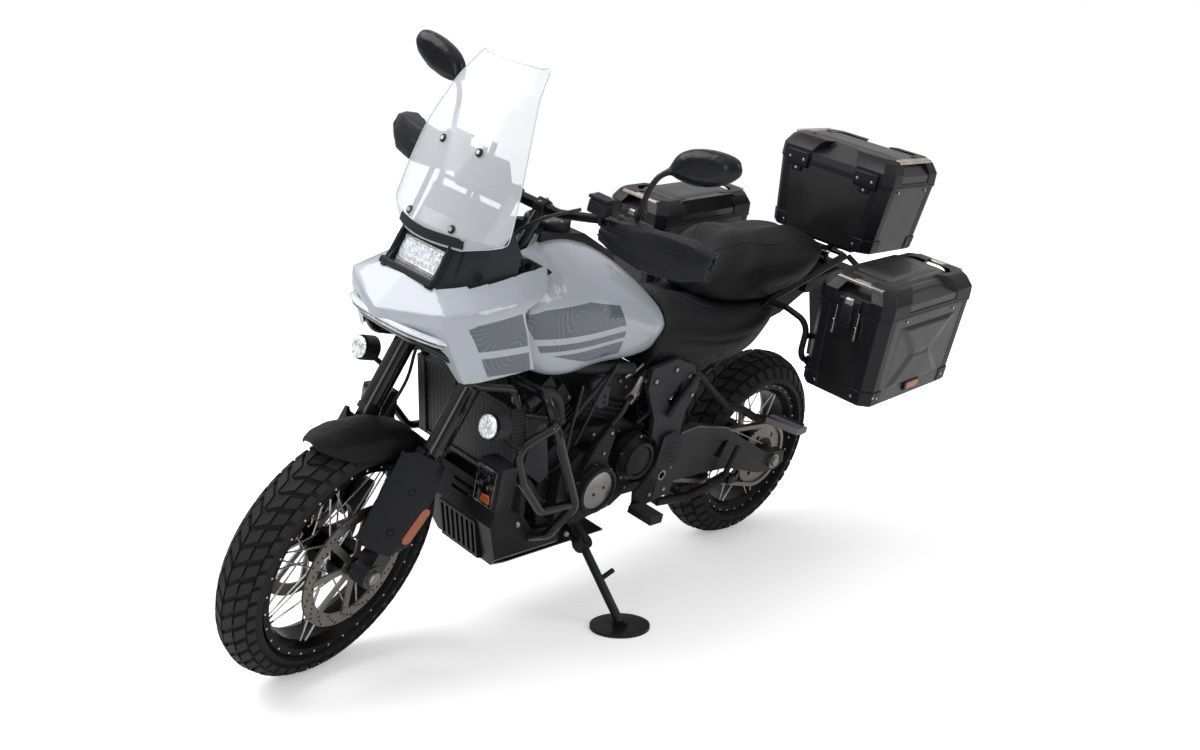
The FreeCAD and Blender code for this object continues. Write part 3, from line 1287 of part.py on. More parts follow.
def main():
    os.makedirs("parts", exist_ok=True)
    upright = seat({name: make() for name, make in (list(CHASSIS.items()) + list(STEERED.items()))})
    nodes = {}
    for name in CHASSIS:
        nodes[name] = parked(upright[name])
    for name in STEERED:
        nodes[name] = parked(upright[name], steered=True)
    for name, make in FRONT_TURNING.items():
        nodes[name] = parked(make().translated(FRONT_CENTRE), steered=True)
    for name, make in REAR_TURNING.items():
        nodes[name] = parked(make().translated(REAR_CENTRE))
    nodes["top_case_lid"] = parked(top_case_place(TOP_CASE.cover()))
    nodes["left_case_lid"] = parked(side_case_place(SIDE_CASE.cover(), 1))
    nodes["right_case_lid"] = parked(side_case_place(SIDE_CASE.cover(), -1))
    nodes["centre_stand"] = parked(centre_stand())
    nodes["side_stand"] = side_stand()
    nodes["stand_bracket"] = joined([nodes["stand_bracket"], side_stand_mount().cut(nodes["engine"])])

    low, high = V(1e9, 1e9, 1e9), V(-1e9, -1e9, -1e9)
    for shape in nodes.values():
        points, _ = shape.tessellate(EDGE_TOLERANCE)
        for p in points:
            low = V(min(low.x, p.x), min(low.y, p.y), min(low.z, p.z))
            high = V(max(high.x, p.x), max(high.y, p.y), max(high.z, p.z))
    shift = V(-(low.x + high.x) / 2, -(low.y + high.y) / 2, -low.z)
    for name, shape in nodes.items():
        shape.translated(shift).exportStep("parts/" + name + ".step")
    print(json.dumps({
        "size_mm": [round(c, 1) for c in high - low],
        "shift_mm": [round(c, 2) for c in shift],
        "joints": joint_lines(shift),
        "solids": {name: len(shape.Solids) for name, shape in nodes.items()},
        "broken": [name for name, shape in nodes.items() if not shape.isValid()],
    }))


if __name__ == "__main__":
    main()
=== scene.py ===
"""Adventure motorcycle with hard luggage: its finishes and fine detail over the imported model."""
import json
import math

import bmesh
import bpy
import numpy as np
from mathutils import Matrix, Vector
from mathutils.bvhtree import BVHTree


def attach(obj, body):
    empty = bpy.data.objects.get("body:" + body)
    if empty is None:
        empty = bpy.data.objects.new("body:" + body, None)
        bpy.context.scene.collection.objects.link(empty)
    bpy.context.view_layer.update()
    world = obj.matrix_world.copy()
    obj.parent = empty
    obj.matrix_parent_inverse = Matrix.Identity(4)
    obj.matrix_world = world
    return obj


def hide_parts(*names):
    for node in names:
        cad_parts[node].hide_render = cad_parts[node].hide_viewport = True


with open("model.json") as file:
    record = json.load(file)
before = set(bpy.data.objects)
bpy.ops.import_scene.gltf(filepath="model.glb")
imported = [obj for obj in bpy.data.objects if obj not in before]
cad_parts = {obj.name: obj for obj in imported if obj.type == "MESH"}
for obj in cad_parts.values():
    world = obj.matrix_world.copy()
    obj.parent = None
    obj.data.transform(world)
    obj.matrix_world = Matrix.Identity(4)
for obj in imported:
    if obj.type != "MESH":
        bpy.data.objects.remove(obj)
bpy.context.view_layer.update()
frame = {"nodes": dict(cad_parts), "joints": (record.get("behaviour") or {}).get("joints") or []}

# Stance. The machine is described upright and steered straight, in millimetres, X forward, Y to its
# left and Z up from the floor under the rear axle, and then leans on its side stand. The rear axle
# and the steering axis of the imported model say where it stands.
RAKE, WHEELBASE, TRAIL_OFFSET = math.radians(26), 1580.0, 25.0
FRONT_R, REAR_R = 325.0, 318.0
STEERED_BY = math.radians(12)
STEERED_BODIES = ("steering", "front_wheel")
SIDES = ((1, "left"), (-1, "right"))
joint = {j["name"]: j for j in frame["joints"]}
rear_axle_at = np.array(joint["rear_wheel_axle"]["pos_m"])
left_way = np.array(joint["rear_wheel_axle"]["axis"])
stem_way = np.array(joint["steering"]["axis"])
square_to_stem = np.cross(left_way, stem_way)
forward_way = math.cos(RAKE) * square_to_stem - math.sin(RAKE) * stem_way
up_way = math.sin(RAKE) * square_to_stem + math.cos(RAKE) * stem_way
floor_at = rear_axle_at - REAR_R / 1000 * up_way
stem_foot = np.array([WHEELBASE - TRAIL_OFFSET * math.cos(RAKE), 0, FRONT_R - TRAIL_OFFSET * math.sin(RAKE)])
stem_line = np.array([-math.sin(RAKE), 0, math.cos(RAKE)])


def stand(points, turned=False):
    """Upright millimetres to the model's metres: p = floor + x forward + y left + z up, and for the front
    end first a turn about the stem by Rodrigues' formula, v cos a + k x v sin a + k (k.v)(1 - cos a)."""
    p = np.asarray(points, float)
    if turned:
        v = p - stem_foot
        along = (v @ stem_line)[..., None] * stem_line
        v = v * math.cos(STEERED_BY) + np.cross(stem_line, v) * math.sin(STEERED_BY) + along * (
            1 - math.cos(STEERED_BY))
        p = v + stem_foot
    p = p / 1000
    return floor_at + p[..., :1] * forward_way + p[..., 1:2] * left_way + p[..., 2:] * up_way


def tilted(points, angle, x_at, z_at):
    """Points turned about Y, x' = x cos a + z sin a and z' = z cos a - x sin a, then moved in X and Z."""
    p = np.asarray(points, float)
    x, y, z = p[..., 0], p[..., 1], p[..., 2]
    c, s = math.cos(angle), math.sin(angle)
    return np.stack([x * c + z * s + x_at, y, -x * s + z * c + z_at], -1)


def on_fork(points):
    """Fork coordinates (x square to the fork, z up it, from the front axle) to upright millimetres."""
    return tilted(points, -RAKE, WHEELBASE, FRONT_R)


# Shader trees. Short names for the nodes that the studio and the finishes share.
def linear(hex_colour):
    """sRGB hex to linear RGBA: ((c + 0.055) / 1.055) ** 2.4 above 0.04045, c / 12.92 below."""
    c = np.array([int(hex_colour[i:i + 2], 16) for i in (1, 3, 5)]) / 255
    return tuple(np.where(c > 0.04045, ((c + 0.055) / 1.055) ** 2.4, c / 12.92)) + (1.0,)


def add(tree, kind, inputs=None, **settings):
    """Adds one node, sets its settings, and sets or links its inputs by name or number."""
    made = tree.nodes.new("ShaderNode" + kind)
    for name, value in settings.items():
        setattr(made, name, value)
    for name, value in (inputs or {}).items():
        if isinstance(value, bpy.types.NodeSocket):
            tree.links.new(value, made.inputs[name])
        else:
            made.inputs[name].default_value = value
    return made


def object_place(tree):
    return add(tree, "TexCoord").outputs["Object"]


def noise(tree, place, scale, detail=2.0, **more):
    return add(tree, "TexNoise", {"Vector": place, "Scale": scale, "Detail": detail, **more}).outputs[0]


def cells(tree, place, scale):
    """How far each point is from its cell's own point."""
    return add(tree, "TexVoronoi", {"Vector": place, "Scale": scale}).outputs["Distance"]


def ramp(tree, value, ends=(0.0, 1.0), to=(0.0, 1.0)):
    """A value between two ends carried to another range and held there."""
    return add(tree, "MapRange", {"Value": value, "From Min": ends[0], "From Max": ends[1], "To Min": to[0],
                                  "To Max": to[1]}).outputs[0]


def maths(tree, operation, *inputs):
    return add(tree, "Math", dict(enumerate(inputs)), operation=operation).outputs[0]


def vectors(tree, operation, *inputs, out="Vector"):
    return add(tree, "VectorMath", dict(enumerate(inputs)), operation=operation).outputs[out]


def blend(tree, share, low, high):
    """Two colours, each a hex or a socket, mixed by a share."""
    low, high = (linear(c) if isinstance(c, str) else c for c in (low, high))
    return add(tree, "Mix", {0: share, 6: low, 7: high}, data_type="RGBA").outputs[2]


def bumps(tree, height, strength, depth):
    return add(tree, "Bump", {"Height": height, "Strength": strength, "Distance": depth}).outputs[0]


def part_material(name):
    made = bpy.data.materials.new(name)
    made.use_nodes = True
    made.node_tree.nodes.clear()
    return made, made.node_tree


def surface(tree, colour, roughness, bump=None, **more):
    """The principled shader and the material's output. Its other inputs come by name, _ for a space."""
    inputs = {name.replace("_", " "): value for name, value in more.items()}
    if bump is not None:
        inputs["Normal"] = bump
    shader = add(tree, "BsdfPrincipled", {"Base Color": linear(colour) if isinstance(colour, str) else colour,
                                          "Roughness": roughness, **inputs})
    add(tree, "OutputMaterial", {"Surface": shader.outputs[0]})


# Studio. A white sweep of paper under one broad soft lamp and an even sky, and the camera where the
# photographer stood: in front of the machine's left shoulder, a little above the tank.
scene = bpy.context.scene
scene.view_settings.view_transform = "Standard"
world = bpy.data.worlds.new("even sky")
scene.world = world
world.use_nodes = True
sky = world.node_tree
sky.nodes.clear()
ray = add(sky, "LightPath").outputs
seen = maths(sky, "MAXIMUM", ray["Is Camera Ray"], ray["Is Transmission Ray"])
height = add(sky, "SeparateXYZ", {0: add(sky, "TexCoord").outputs["Generated"]}).outputs["Z"]
strength = add(sky, "Mix", {0: seen, 2: ramp(sky, height, (0.0, 0.8), (0.22, 0.95)), 3: 1.0},
               data_type="FLOAT")
light = add(sky, "Background", {"Color": (1, 1, 1, 1), "Strength": strength.outputs[0]})
add(sky, "OutputWorld", {"Surface": light.outputs[0]})

for name, spot, aim, size, power in (
    ("broad lamp", (1.9, -1.3, 3.5), (0.0, 0.0, 0.4), 3.0, 84.0),
    ("side lamp", (-1.4, 3.6, 2.2), (-0.3, 0.1, 0.7), 1.6, 26.0),
    ("front lamp", (4.2, 1.4, 1.5), (0.3, 0.0, 0.6), 1.2, 14.0),
):
    lamp = bpy.data.lights.new(name, "AREA")
    lamp.shape, lamp.size, lamp.energy = "DISK", size, power
    holder = bpy.data.objects.new(name, lamp)
    way = np.array(aim) - np.array(spot)
    yaw, dip = math.atan2(way[1], way[0]), math.atan2(-way[2], math.hypot(way[0], way[1]))
    holder.location = spot
    holder.rotation_euler = (math.pi / 2 - dip, 0, yaw - math.pi / 2)
    scene.collection.objects.link(holder)

PAPER, PAPER_Z = 14, -0.0005
floor_mesh = bpy.data.meshes.new("paper sweep")
floor_mesh.from_pydata([(x * PAPER, y * PAPER, PAPER_Z) for x, y in ((-1, -1), (1, -1), (1, 1), (-1, 1))], [],
                       [(0, 1, 2, 3)])
paper, tree = part_material("white paper")
place = object_place(tree)
fade = ramp(tree, vectors(tree, "LENGTH", place, out="Value"), (1.2, 3.6), (0.34, 1.0))
matt = add(tree, "BsdfDiffuse", {"Color": ramp(tree, noise(tree, place, 40.0, 3.0),
                                               to=(0.90, 0.92))}).outputs[0]
lift = add(tree, "Emission", {"Color": (1, 1, 1, 1), "Strength": fade}).outputs[0]
lit = add(tree, "AddShader", {0: matt, 1: lift}).outputs[0]
pick = add(tree, "MixShader", {0: add(tree, "LightPath").outputs["Is Camera Ray"], 1: matt, 2: lit})
add(tree, "OutputMaterial", {"Surface": pick.outputs[0]})
floor_mesh.materials.append(paper)
floor_piece = bpy.data.objects.new("paper_sweep", floor_mesh)
scene.collection.objects.link(floor_piece)

CAMERA_FROM_AXLE = (3.18571, 2.3467, 0.91984)
camera_data = bpy.data.cameras.new("camera")
camera_data.lens, camera_data.sensor_width = 36.822, 36.0
camera_data.shift_y = -0.0095
camera_data.clip_end = 60
camera = bpy.data.objects.new("camera", camera_data)
yaw, dip, roll = math.radians(-137.16), math.radians(9.63), math.radians(0.49)
look = np.array([math.cos(dip) * math.cos(yaw), math.cos(dip) * math.sin(yaw), -math.sin(dip)])
level = np.cross(look, [0, 0, 1])
level = level / np.linalg.norm(level)
top = np.cross(level, look)
right = math.cos(roll) * level + math.sin(roll) * top
top = -math.sin(roll) * level + math.cos(roll) * top
pose = np.eye(4)
pose[:3, 0], pose[:3, 1], pose[:3, 2] = right, top, -look
pose[:3, 3] = rear_axle_at + CAMERA_FROM_AXLE
camera.matrix_world = [list(row) for row in pose.T]
scene.collection.objects.link(camera)
scene.camera = camera


# Painted body panels. Steel tank and injection-moulded nose, sprayed in a cool light grey and lacquered:
# a smooth gloss with a fine orange peel. On the wings and the tank lie printed panels of blue-grey
# with thin contour lines like a map's, and two plain pale stripes.
def upright_axes(tree):
    """Upright X, Y, Z in metres: the dot products of (p - floor) with the machine's three axes."""
    away = vectors(tree, "SUBTRACT", object_place(tree), tuple(floor_at))
    return [vectors(tree, "DOT_PRODUCT", away, tuple(way), out="Value")
            for way in (forward_way, left_way, up_way)]


def within(tree, u, v, corners, soft=0.0008):
    """1 inside a convex outline of anticlockwise (u, v) millimetre corners: its edges' ramps multiplied."""
    total = None
    for (u0, v0), (u1, v1) in zip(corners, corners[1:] + corners[:1]):
        nu, nv = -(v1 - v0), u1 - u0
        size = math.hypot(nu, nv)
        nu, nv = nu / size, nv / size
        start = (nu * u0 + nv * v0) / 1000
        edge = ramp(tree, maths(tree, "MULTIPLY_ADD", v, nv, maths(tree, "MULTIPLY", u, nu)),
                    (start, start + soft))
        total = edge if total is None else maths(tree, "MULTIPLY", total, edge)
    return total


CONTOUR_STEPS = 30.0
PALE_GREY = "#A9ADB7"
paint, tree = part_material("lacquered light grey paint")
along, across, tall = upright_axes(tree)
spot = add(tree, "CombineXYZ", {0: along, 1: across, 2: tall}).outputs[0]
steps = maths(tree, "MULTIPLY", noise(tree, spot, 7.0, 0.0, Distortion=0.15), CONTOUR_STEPS)
line = ramp(tree, maths(tree, "SUBTRACT", maths(tree, "FRACT", steps), 0.5), (0.32, 0.42))
wing_panel = within(tree, along, tall, [(1236, 818), (1375, 822), (1446, 938), (1425, 948), (1300, 966)])
tank_panel = within(tree, along, tall, [(1196, 848), (1268, 944), (1212, 960), (1067, 969), (940, 944),
                                        (889, 877), (880, 800), (1020, 802)])
stripes = maths(tree, "MAXIMUM",
                within(tree, along, tall, [(800, 868), (1440, 868), (1440, 886), (800, 886)]),
                within(tree, along, tall, [(800, 838), (1240, 838), (1240, 850), (800, 850)]))
low_panel = within(tree, along, tall, [(640, 700), (1100, 700), (1180, 812), (900, 790), (700, 800)])
panel_tone = blend(tree, stripes, blend(tree, line, "#4C525D", "#6F7681"), PALE_GREY)
body_tone = blend(tree, low_panel, PALE_GREY, "#969BA6")
surface(tree, blend(tree, maths(tree, "MAXIMUM", wing_panel, tank_panel), body_tone, panel_tone), 0.34,
        bumps(tree, noise(tree, spot, 900.0, 1.0), 0.02, 0.001), Coat_Weight=0.8, Coat_Roughness=0.06)


def dress(material, *names):
    for name in names:
        mesh = frame["nodes"][name].data
        mesh.materials.clear()
        mesh.materials.append(material)


dress(paint, "front_fairing", "fuel_tank")


# Frame, stands, guards and the other steel tube and plate. Mild steel, powder coated black: the baked
# powder flows to a gloss on the guards and to a satin grain elsewhere, rubbed paler at the edges.
def coated(name, colour, roughness, grain_mm, depth, metallic=0.0, coat=0.0, worn="#4A4B4E", edge=0.25,
           gleam=0.2):
    """A coated or moulded finish: noise of the grain's size for bump, broad noise for roughness, and a
    paler tone on edges from the pointiness of the mesh."""
    made, tree = part_material(name)
    place = object_place(tree)
    rub = ramp(tree, add(tree, "NewGeometry").outputs["Pointiness"], (0.52, 0.60), (0.0, edge))
    sheen = ramp(tree, noise(tree, place, 14.0, 3.0), (0.3, 0.7), (roughness - 0.05, roughness + 0.06))
    surface(tree, blend(tree, rub, colour, worn), sheen,
            bumps(tree, noise(tree, place, 1000.0 / grain_mm), depth, 0.0006),
            Metallic=metallic, Coat_Weight=coat, Coat_Roughness=0.08, Specular_IOR_Level=gleam)
    return made


satin_powder = coated("satin black powder coat", "#0D0D0F", 0.42, 1.4, 0.25)
gloss_powder = coated("gloss black powder coat", "#0C0C0E", 0.24, 2.5, 0.08, coat=0.5)
dress(satin_powder, "main_frame", "seat_frame", "case_racks", "stand_bracket", "centre_stand", "side_stand",
      "frame_side_plates")
dress(gloss_powder, "engine_guards", "nose_guard", "fork")

# Moulded plastics. Glass-filled nylon and ABS, grained in the mould: near black for the mudguards,
# console and instrument, dark slate for the headlamp housing, charcoal for the guards.
black_nylon = coated("grained black nylon", "#0B0B0D", 0.48, 1.2, 0.35)
slate_plastic = coated("slate grey moulded plastic", "#2B2C31", 0.46, 1.0, 0.3, worn="#4A4B50")
guard_plastic = coated("charcoal moulded plastic", "#17181B", 0.44, 1.0, 0.3, worn="#2C2D31")
mirror_shell = coated("satin black mirror shell", "#101114", 0.34, 3.0, 0.05, coat=0.2)
dress(black_nylon, "rear_fender", "tank_console", "instrument", "auxiliary_lamps")
dress(slate_plastic, "headlamp_housing")

# Engine and castings. Die-cast aluminium crankcase and cylinders in wrinkle-black coating, the round
# covers in satin black and the alternator disc bare silver.
cast_black = coated("black coated cast aluminium", "#0B0B0D", 0.44, 1.6, 0.4, metallic=0.2, worn="#4A4A4C")
dress(cast_black, "engine", "cylinders", "engine_covers", "brake_calipers")
dress(coated("black anodised swingarm", "#121214", 0.38, 1.8, 0.3, metallic=0.4, worn="#5A5A5C"), "swingarm")
dress(coated("satin black skid plate", "#121315", 0.34, 2.0, 0.12, metallic=0.3, worn="#505052"),
      "skid_plate")
dress(coated("black alloy bar", "#0E0E10", 0.30, 2.0, 0.1, metallic=0.2), "handlebar")
dress(coated("ribbed black rubber", "#101011", 0.62, 3.0, 0.5), "foot_pegs")
dress(coated("black muffler coating", "#19191B", 0.34, 2.0, 0.1, metallic=0.4), "muffler")
dress(coated("shock absorber black", "#1A1A1D", 0.35, 2.0, 0.1, metallic=0.2), "rear_shock")


# Bare steel. Ground and zinc-plated axles and pivots, and brushed stainless discs: fine turning marks
# round the axle show as a stretched noise.
def bare_metal(name, colour, roughness, streak=(1.0, 1.0, 1.0), scale=220.0):
    made, tree = part_material(name)
    place = object_place(tree)
    drawn = add(tree, "Mapping", {"Vector": place, "Scale": streak}).outputs[0]
    marks = noise(tree, drawn, scale, 3.0)
    surface(tree, blend(tree, noise(tree, place, 22.0), colour, "#7A766F"),
            ramp(tree, marks, to=(roughness - 0.06, roughness + 0.10)), bumps(tree, marks, 0.12, 0.0004),
            Metallic=1.0)
    return made


plated_steel = bare_metal("zinc plated steel", "#B4B2AE", 0.30)
dress(plated_steel, "swingarm_pivot", "rear_axle", "front_axle")
dress(bare_metal("brushed stainless disc", "#9B948C", 0.34, streak=(1.0, 6.0, 1.0)), "front_discs",
      "rear_disc")
dress(bare_metal("oiled chain steel", "#8C8880", 0.40), "drive_chain", "rear_sprocket")
dress(bare_metal("heat-stained stainless pipe", "#4E4A47", 0.34), "exhaust_headers")


# Glass, lenses and other clear or shining mouldings.
def glazed(name, texture, scale, tones, rough, bump=None, glow=0.0, ends=None, detail=2.0, **more):
    """One texture, cells or noise, tints the colour between two tones, lifts the surface by bump's
    strength and depth, and spreads the roughness where that is a range. The tone may also glow."""
    made, tree = part_material(name)
    place = object_place(tree)
    grain = cells(tree, place, scale) if texture == "cells" else noise(tree, place, scale, detail)
    share = ramp(tree, grain, ends) if ends else grain
    colour = tones if isinstance(tones, str) else blend(tree, share, *tones)
    if glow:
        more.update(Emission_Color=colour, Emission_Strength=glow)
    surface(tree, colour, ramp(tree, grain, to=rough) if isinstance(rough, tuple) else rough,
            bumps(tree, grain, *bump) if bump else None, **more)
    return made


white_seal = glazed("white sealing paint", "noise", 300.0, ("#E8E8E6", "#CFCFCD"), 0.5)
# The screen is near white and about a third opaque: a painted veil that stands in for the light reflected off
# the clear polycarbonate.
screen = glazed("clear polycarbonate", "noise", 6.0, "#E9EDF2", (0.03, 0.07), IOR=1.45, Alpha=0.36)
# The amber glows faintly, at 0.03. On the reflectors of the cases and fork guards this is a painted glow, as
# they are no lamps.
amber = glazed("amber reflector with a painted glow", "cells", 320.0, ("#A9501C", "#7A3410"), 0.2, (0.5, 0.001), 0.03,
               Coat_Weight=0.7)
lamp_glass = glazed("clear lamp glass over a pressed reflector", "cells", 150.0, ("#FFFFFF", "#8E939A"), 0.15,
                    (0.8, 0.003), 0.45, Metallic=0.5, Coat_Weight=1.0)
# The square lamps' cover is near black with paler grey spots from its cells: painted highlights that stand in
# for the glints of the reflector bowls behind the glass.
dark_glass_painted_glints = glazed("dark lamp cover with painted glints", "cells", 42.0, ("#08080B", "#5C6067"), 0.16, (0.8, 0.003),
                    ends=(0.62, 0.9), Metallic=0.4, Coat_Weight=1.0)
light_bar = glazed("clear light guide", "noise", 30.0, ("#EDF0F6", "#A9AEB9"), 0.12, glow=0.15,
                   Coat_Weight=1.0)
glass_black = glazed("black display glass", "noise", 24.0, "#07080A", (0.04, 0.12), detail=3.0,
                     Coat_Weight=1.0)
mirror_glass = glazed("silvered mirror glass", "noise", 20.0, "#C9CFD6", (0.02, 0.06), Metallic=1.0)
dress(screen, "windscreen")

lens, tree = part_material("faceted lamp lens")
across = upright_axes(tree)[1]
facet = cells(tree, object_place(tree), 90.0)
flutes = maths(tree, "SINE", maths(tree, "MULTIPLY", across, 520.0))
tone = blend(tree, facet, "#F4F6F9", "#B4B9C0")
surface(tree, tone, 0.12, bumps(tree, maths(tree, "MULTIPLY_ADD", flutes, 0.5, facet), 0.45, 0.002),
        Metallic=0.6, Coat_Weight=1.0, Emission_Color=tone, Emission_Strength=0.35)
dress(lens, "headlamp_lens")

red_lens, tree = part_material("red moulded lens")
ribs = add(tree, "TexWave", {"Vector": object_place(tree), "Scale": 60.0}).outputs["Fac"]
surface(tree, "#7E120E", 0.15, bumps(tree, ribs, 0.4, 0.002), Coat_Weight=0.6)
dress(red_lens, "tail_lamp")

# Radiator. A black-painted core of thin fins between flat tubes, behind a coarse square grille.
core, tree = part_material("finned radiator core")
across, tall = upright_axes(tree)[1:]
bars = [maths(tree, "LESS_THAN", maths(tree, "FRACT", maths(tree, "MULTIPLY", axis, 1000 / pitch)), 0.20)
        for axis, pitch in ((across, 15.0), (tall, 10.0))]
grille = maths(tree, "MAXIMUM", *bars)
surface(tree, blend(tree, grille, "#040405", "#38383B"), 0.5, bumps(tree, grille, 1.0, 0.003), Metallic=0.3)
dress(core, "radiator")


# Mesh making. A piece is a mesh whose object stays at the origin: its place is in its points.
def grown(name, points, faces, material, body, bend_deg, stands_for=()):
    """A new object from an (n, 3) array of metres and a list of faces, its doubles merged, its faces
    turned outwards and its creases kept sharp above an angle."""
    mesh = bpy.data.meshes.new(name)
    mesh.from_pydata([tuple(p) for p in np.asarray(points)], [], [tuple(int(i) for i in f) for f in faces])
    work = bmesh.new()
    work.from_mesh(mesh)
    bmesh.ops.remove_doubles(work, verts=work.verts, dist=1e-6)
    bmesh.ops.recalc_face_normals(work, faces=work.faces)
    work.to_mesh(mesh)
    work.free()
    mesh.materials.append(material)
    mesh.shade_smooth()
    mesh.set_sharp_from_angle(angle=math.radians(bend_deg))
    made = bpy.data.objects.new(name, mesh)
    scene.collection.objects.link(made)
    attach(made, body)
    if stands_for:
        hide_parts(*stands_for)
    return made


def piece(name, points, faces, material, body="chassis", bend_deg=32, stands_for=()):
    """The same from upright millimetres, turned with the bars where its body is."""
    placed = stand(np.reshape(points, (-1, 3)), body in STEERED_BODIES)
    return grown(name, placed, faces, material, body, bend_deg, stands_for)


def rounded(made, bevel):
    """A bevel of some millimetres on a piece's edges."""
    if bevel:
        soft = made.modifiers.new("rounded edge", "BEVEL")
        soft.width, soft.segments, soft.limit_method = bevel / 1000, 2, "ANGLE"
    return made


def circle(count, start=0.0):
    return np.linspace(0, 2 * np.pi, count, endpoint=False) + start


def grid_faces(rows, columns, close_rows=False, close_columns=False):
    """The quads of a grid of points, wrapped round where a way is closed."""
    r = np.arange(rows if close_rows else rows - 1)
    c = np.arange(columns if close_columns else columns - 1)
    i, j = np.meshgrid(r, c, indexing="ij")
    i2, j2 = (i + 1) % rows, (j + 1) % columns
    return np.stack([i * columns + j, i2 * columns + j, i2 * columns + j2, i * columns + j2], -1).reshape(-1,
                                                                                                          4)


def tube_faces(rings, sides):
    """A grid closed round its rings, and a face over each end."""
    ends = [list(range(sides)), list(range((rings - 1) * sides, rings * sides))]
    return grid_faces(rings, sides, False, True).tolist() + ends


def section(y, *corners):
    """Points (x, z) of a side view at a given y."""
    return [(x, y, z) for x, z in corners]


def swept(y0, y1, *corners):
    """The two rings of a bar across the machine with a given side view."""
    return [section(y0, *corners), section(y1, *corners)]


def unit_pair(way):
    """Two unit vectors square to each of the given ways, by cross products with a fixed helper."""
    way = way / np.linalg.norm(way, axis=-1, keepdims=True)
    helper = np.where(np.abs(way[..., 2:]) > 0.9, [1.0, 0, 0], [0, 0, 1.0])
    u = np.cross(way, helper)
    u = u / np.linalg.norm(u, axis=-1, keepdims=True)
    return way, u, np.cross(way, u)


def studs(name, at, way, radius, height, material, body="chassis", sides=12, dome=0.35):
    """Round heads: rings of radius r, r and 0.78 r at heights -0.6, h (1 - dome) and h, with end faces."""
    at = np.atleast_2d(np.asarray(at, float))
    way, u, v = unit_pair(np.broadcast_to(np.asarray(way, float), at.shape))
    a = circle(sides)
    rise = np.array([-0.6, height * (1 - dome), height])
    size = radius * np.array([1, 1, 0.78])
    ringed = np.cos(a)[None, :, None] * u[:, None] + np.sin(a)[None, :, None] * v[:, None]
    points = (at[:, None, None] + ringed[:, None] * size[None, :, None, None]
              + way[:, None, None] * rise[None, :, None, None])
    faces = [[i + 3 * sides * n for i in f] for n in range(len(at)) for f in tube_faces(3, sides)]
    return piece(name, points, faces, material, body)


def smooth_line(points, steps=10):
    """Catmull-Rom: 0.5 (2 b + (c - a) t + (2a - 5b + 4c - d) t2 + (3b - a - 3c + d) t3) between points."""
    p = np.asarray(points, float)
    p = np.concatenate([2 * p[:1] - p[1:2], p, 2 * p[-1:] - p[-2:-1]])
    t = np.linspace(0, 1, steps, endpoint=False)[None, :, None]
    a, b, c, d = (p[i:len(p) - 3 + i, None] for i in range(4))
    run = 0.5 * (2 * b + (c - a) * t + (2 * a - 5 * b + 4 * c - d) * t ** 2
                 + (3 * b - a - 3 * c + d) * t ** 3)
    return np.concatenate([run.reshape(-1, 3), p[-2:-1]])


def pipe(name, points, radius, material, body="chassis", sides=12, steps=10, flat=1.0, smooth=True):
    """Rings of points square to the line: centre + r (cos a u + flat sin a v), closed by end faces."""
    line = smooth_line(points, steps) if smooth else np.asarray(points, float)
    _, u, v = unit_pair(np.gradient(line, axis=0))
    a = circle(sides)
    rings = line[:, None] + radius * (np.cos(a)[None, :, None] * u[:, None]
                                      + flat * np.sin(a)[None, :, None] * v[:, None])
    return piece(name, rings, tube_faces(len(line), sides), material, body, 50)


def slab(name, outline, offset, material, body="chassis", bevel=1.2):
    """A plate: one outline of (k, 3) points and the same moved by offset, joined by side walls."""
    low = np.asarray(outline, float)
    k = len(low)
    faces = [list(range(k)), list(range(k, 2 * k))]
    faces += [[i, (i + 1) % k, (i + 1) % k + k, i + k] for i in range(k)]
    return rounded(piece(name, np.concatenate([low, low + offset]), faces, material, body, 30), bevel)


def skin(name, rings, material, body="chassis", bend_deg=32, bevel=0.0, place=np.asarray):
    """A closed skin over an (n, k, 3) stack of closed rings in millimetres, with its two ends faced."""
    rings = np.asarray(rings, float)
    return rounded(piece(name, place(rings), tube_faces(*rings.shape[:2]), material, body, bend_deg), bevel)


def strip(name, lines, material):
    """A closed band skinned over lines that run side by side."""
    piece(name, np.stack(lines, 1), grid_faces(len(lines[0]), len(lines), False, True), material, bend_deg=30)


def lathed(name, centre, profile, ways, material, segments=40, bend_deg=30):
    """A closed profile of (radius, height) turned about w: centre + r (cos a u + sin a v) + h w."""
    a = circle(segments)[None, :, None]
    r, h = np.array(profile, float).T[:, :, None, None]
    u, v, w = np.array(ways, float)
    points = np.array(centre) + r * (np.cos(a) * u + np.sin(a) * v) + h * w
    piece(name, points, grid_faces(len(profile), segments, True, True), material, bend_deg=bend_deg)


def bolt_circle(x, y, z, radius, count, start=0.0):
    """Points round a centre in a plane across the machine."""
    a = circle(count, start)
    return np.stack([x + radius * np.cos(a), np.full(count, y), z + radius * np.sin(a)], -1)


def brick(low, high):
    """The two rings of a rectangular bar between two corners."""
    (x0, y0, z0), (x1, y1, z1) = low, high
    return [[(x0, y0, z), (x1, y0, z), (x1, y1, z), (x0, y1, z)] for z in (z0, z1)]


def relief(name, corner, across, upward, lift, body, place, grid=(40, 28)):
    """A pressed panel of the cases' sheet: points corner + a across + b upward + h(a, b) normal over a grid
    of a, b in 0..1, its height h given by a function, and its rim turned down to the surface below."""
    a, b = np.meshgrid(np.linspace(0, 1, grid[0]), np.linspace(0, 1, grid[1]), indexing="ij")
    corner, across, upward = (np.asarray(v, float) for v in (corner, across, upward))
    out = np.cross(across, upward)
    out = out / np.linalg.norm(out)
    h = np.where((a == 0) | (a == 1) | (b == 0) | (b == 1), -0.5, lift(a, b))
    points = corner + a[..., None] * across + b[..., None] * upward + h[..., None] * out
    return piece(name, place(points), grid_faces(*grid), case_sheet, body, 50)


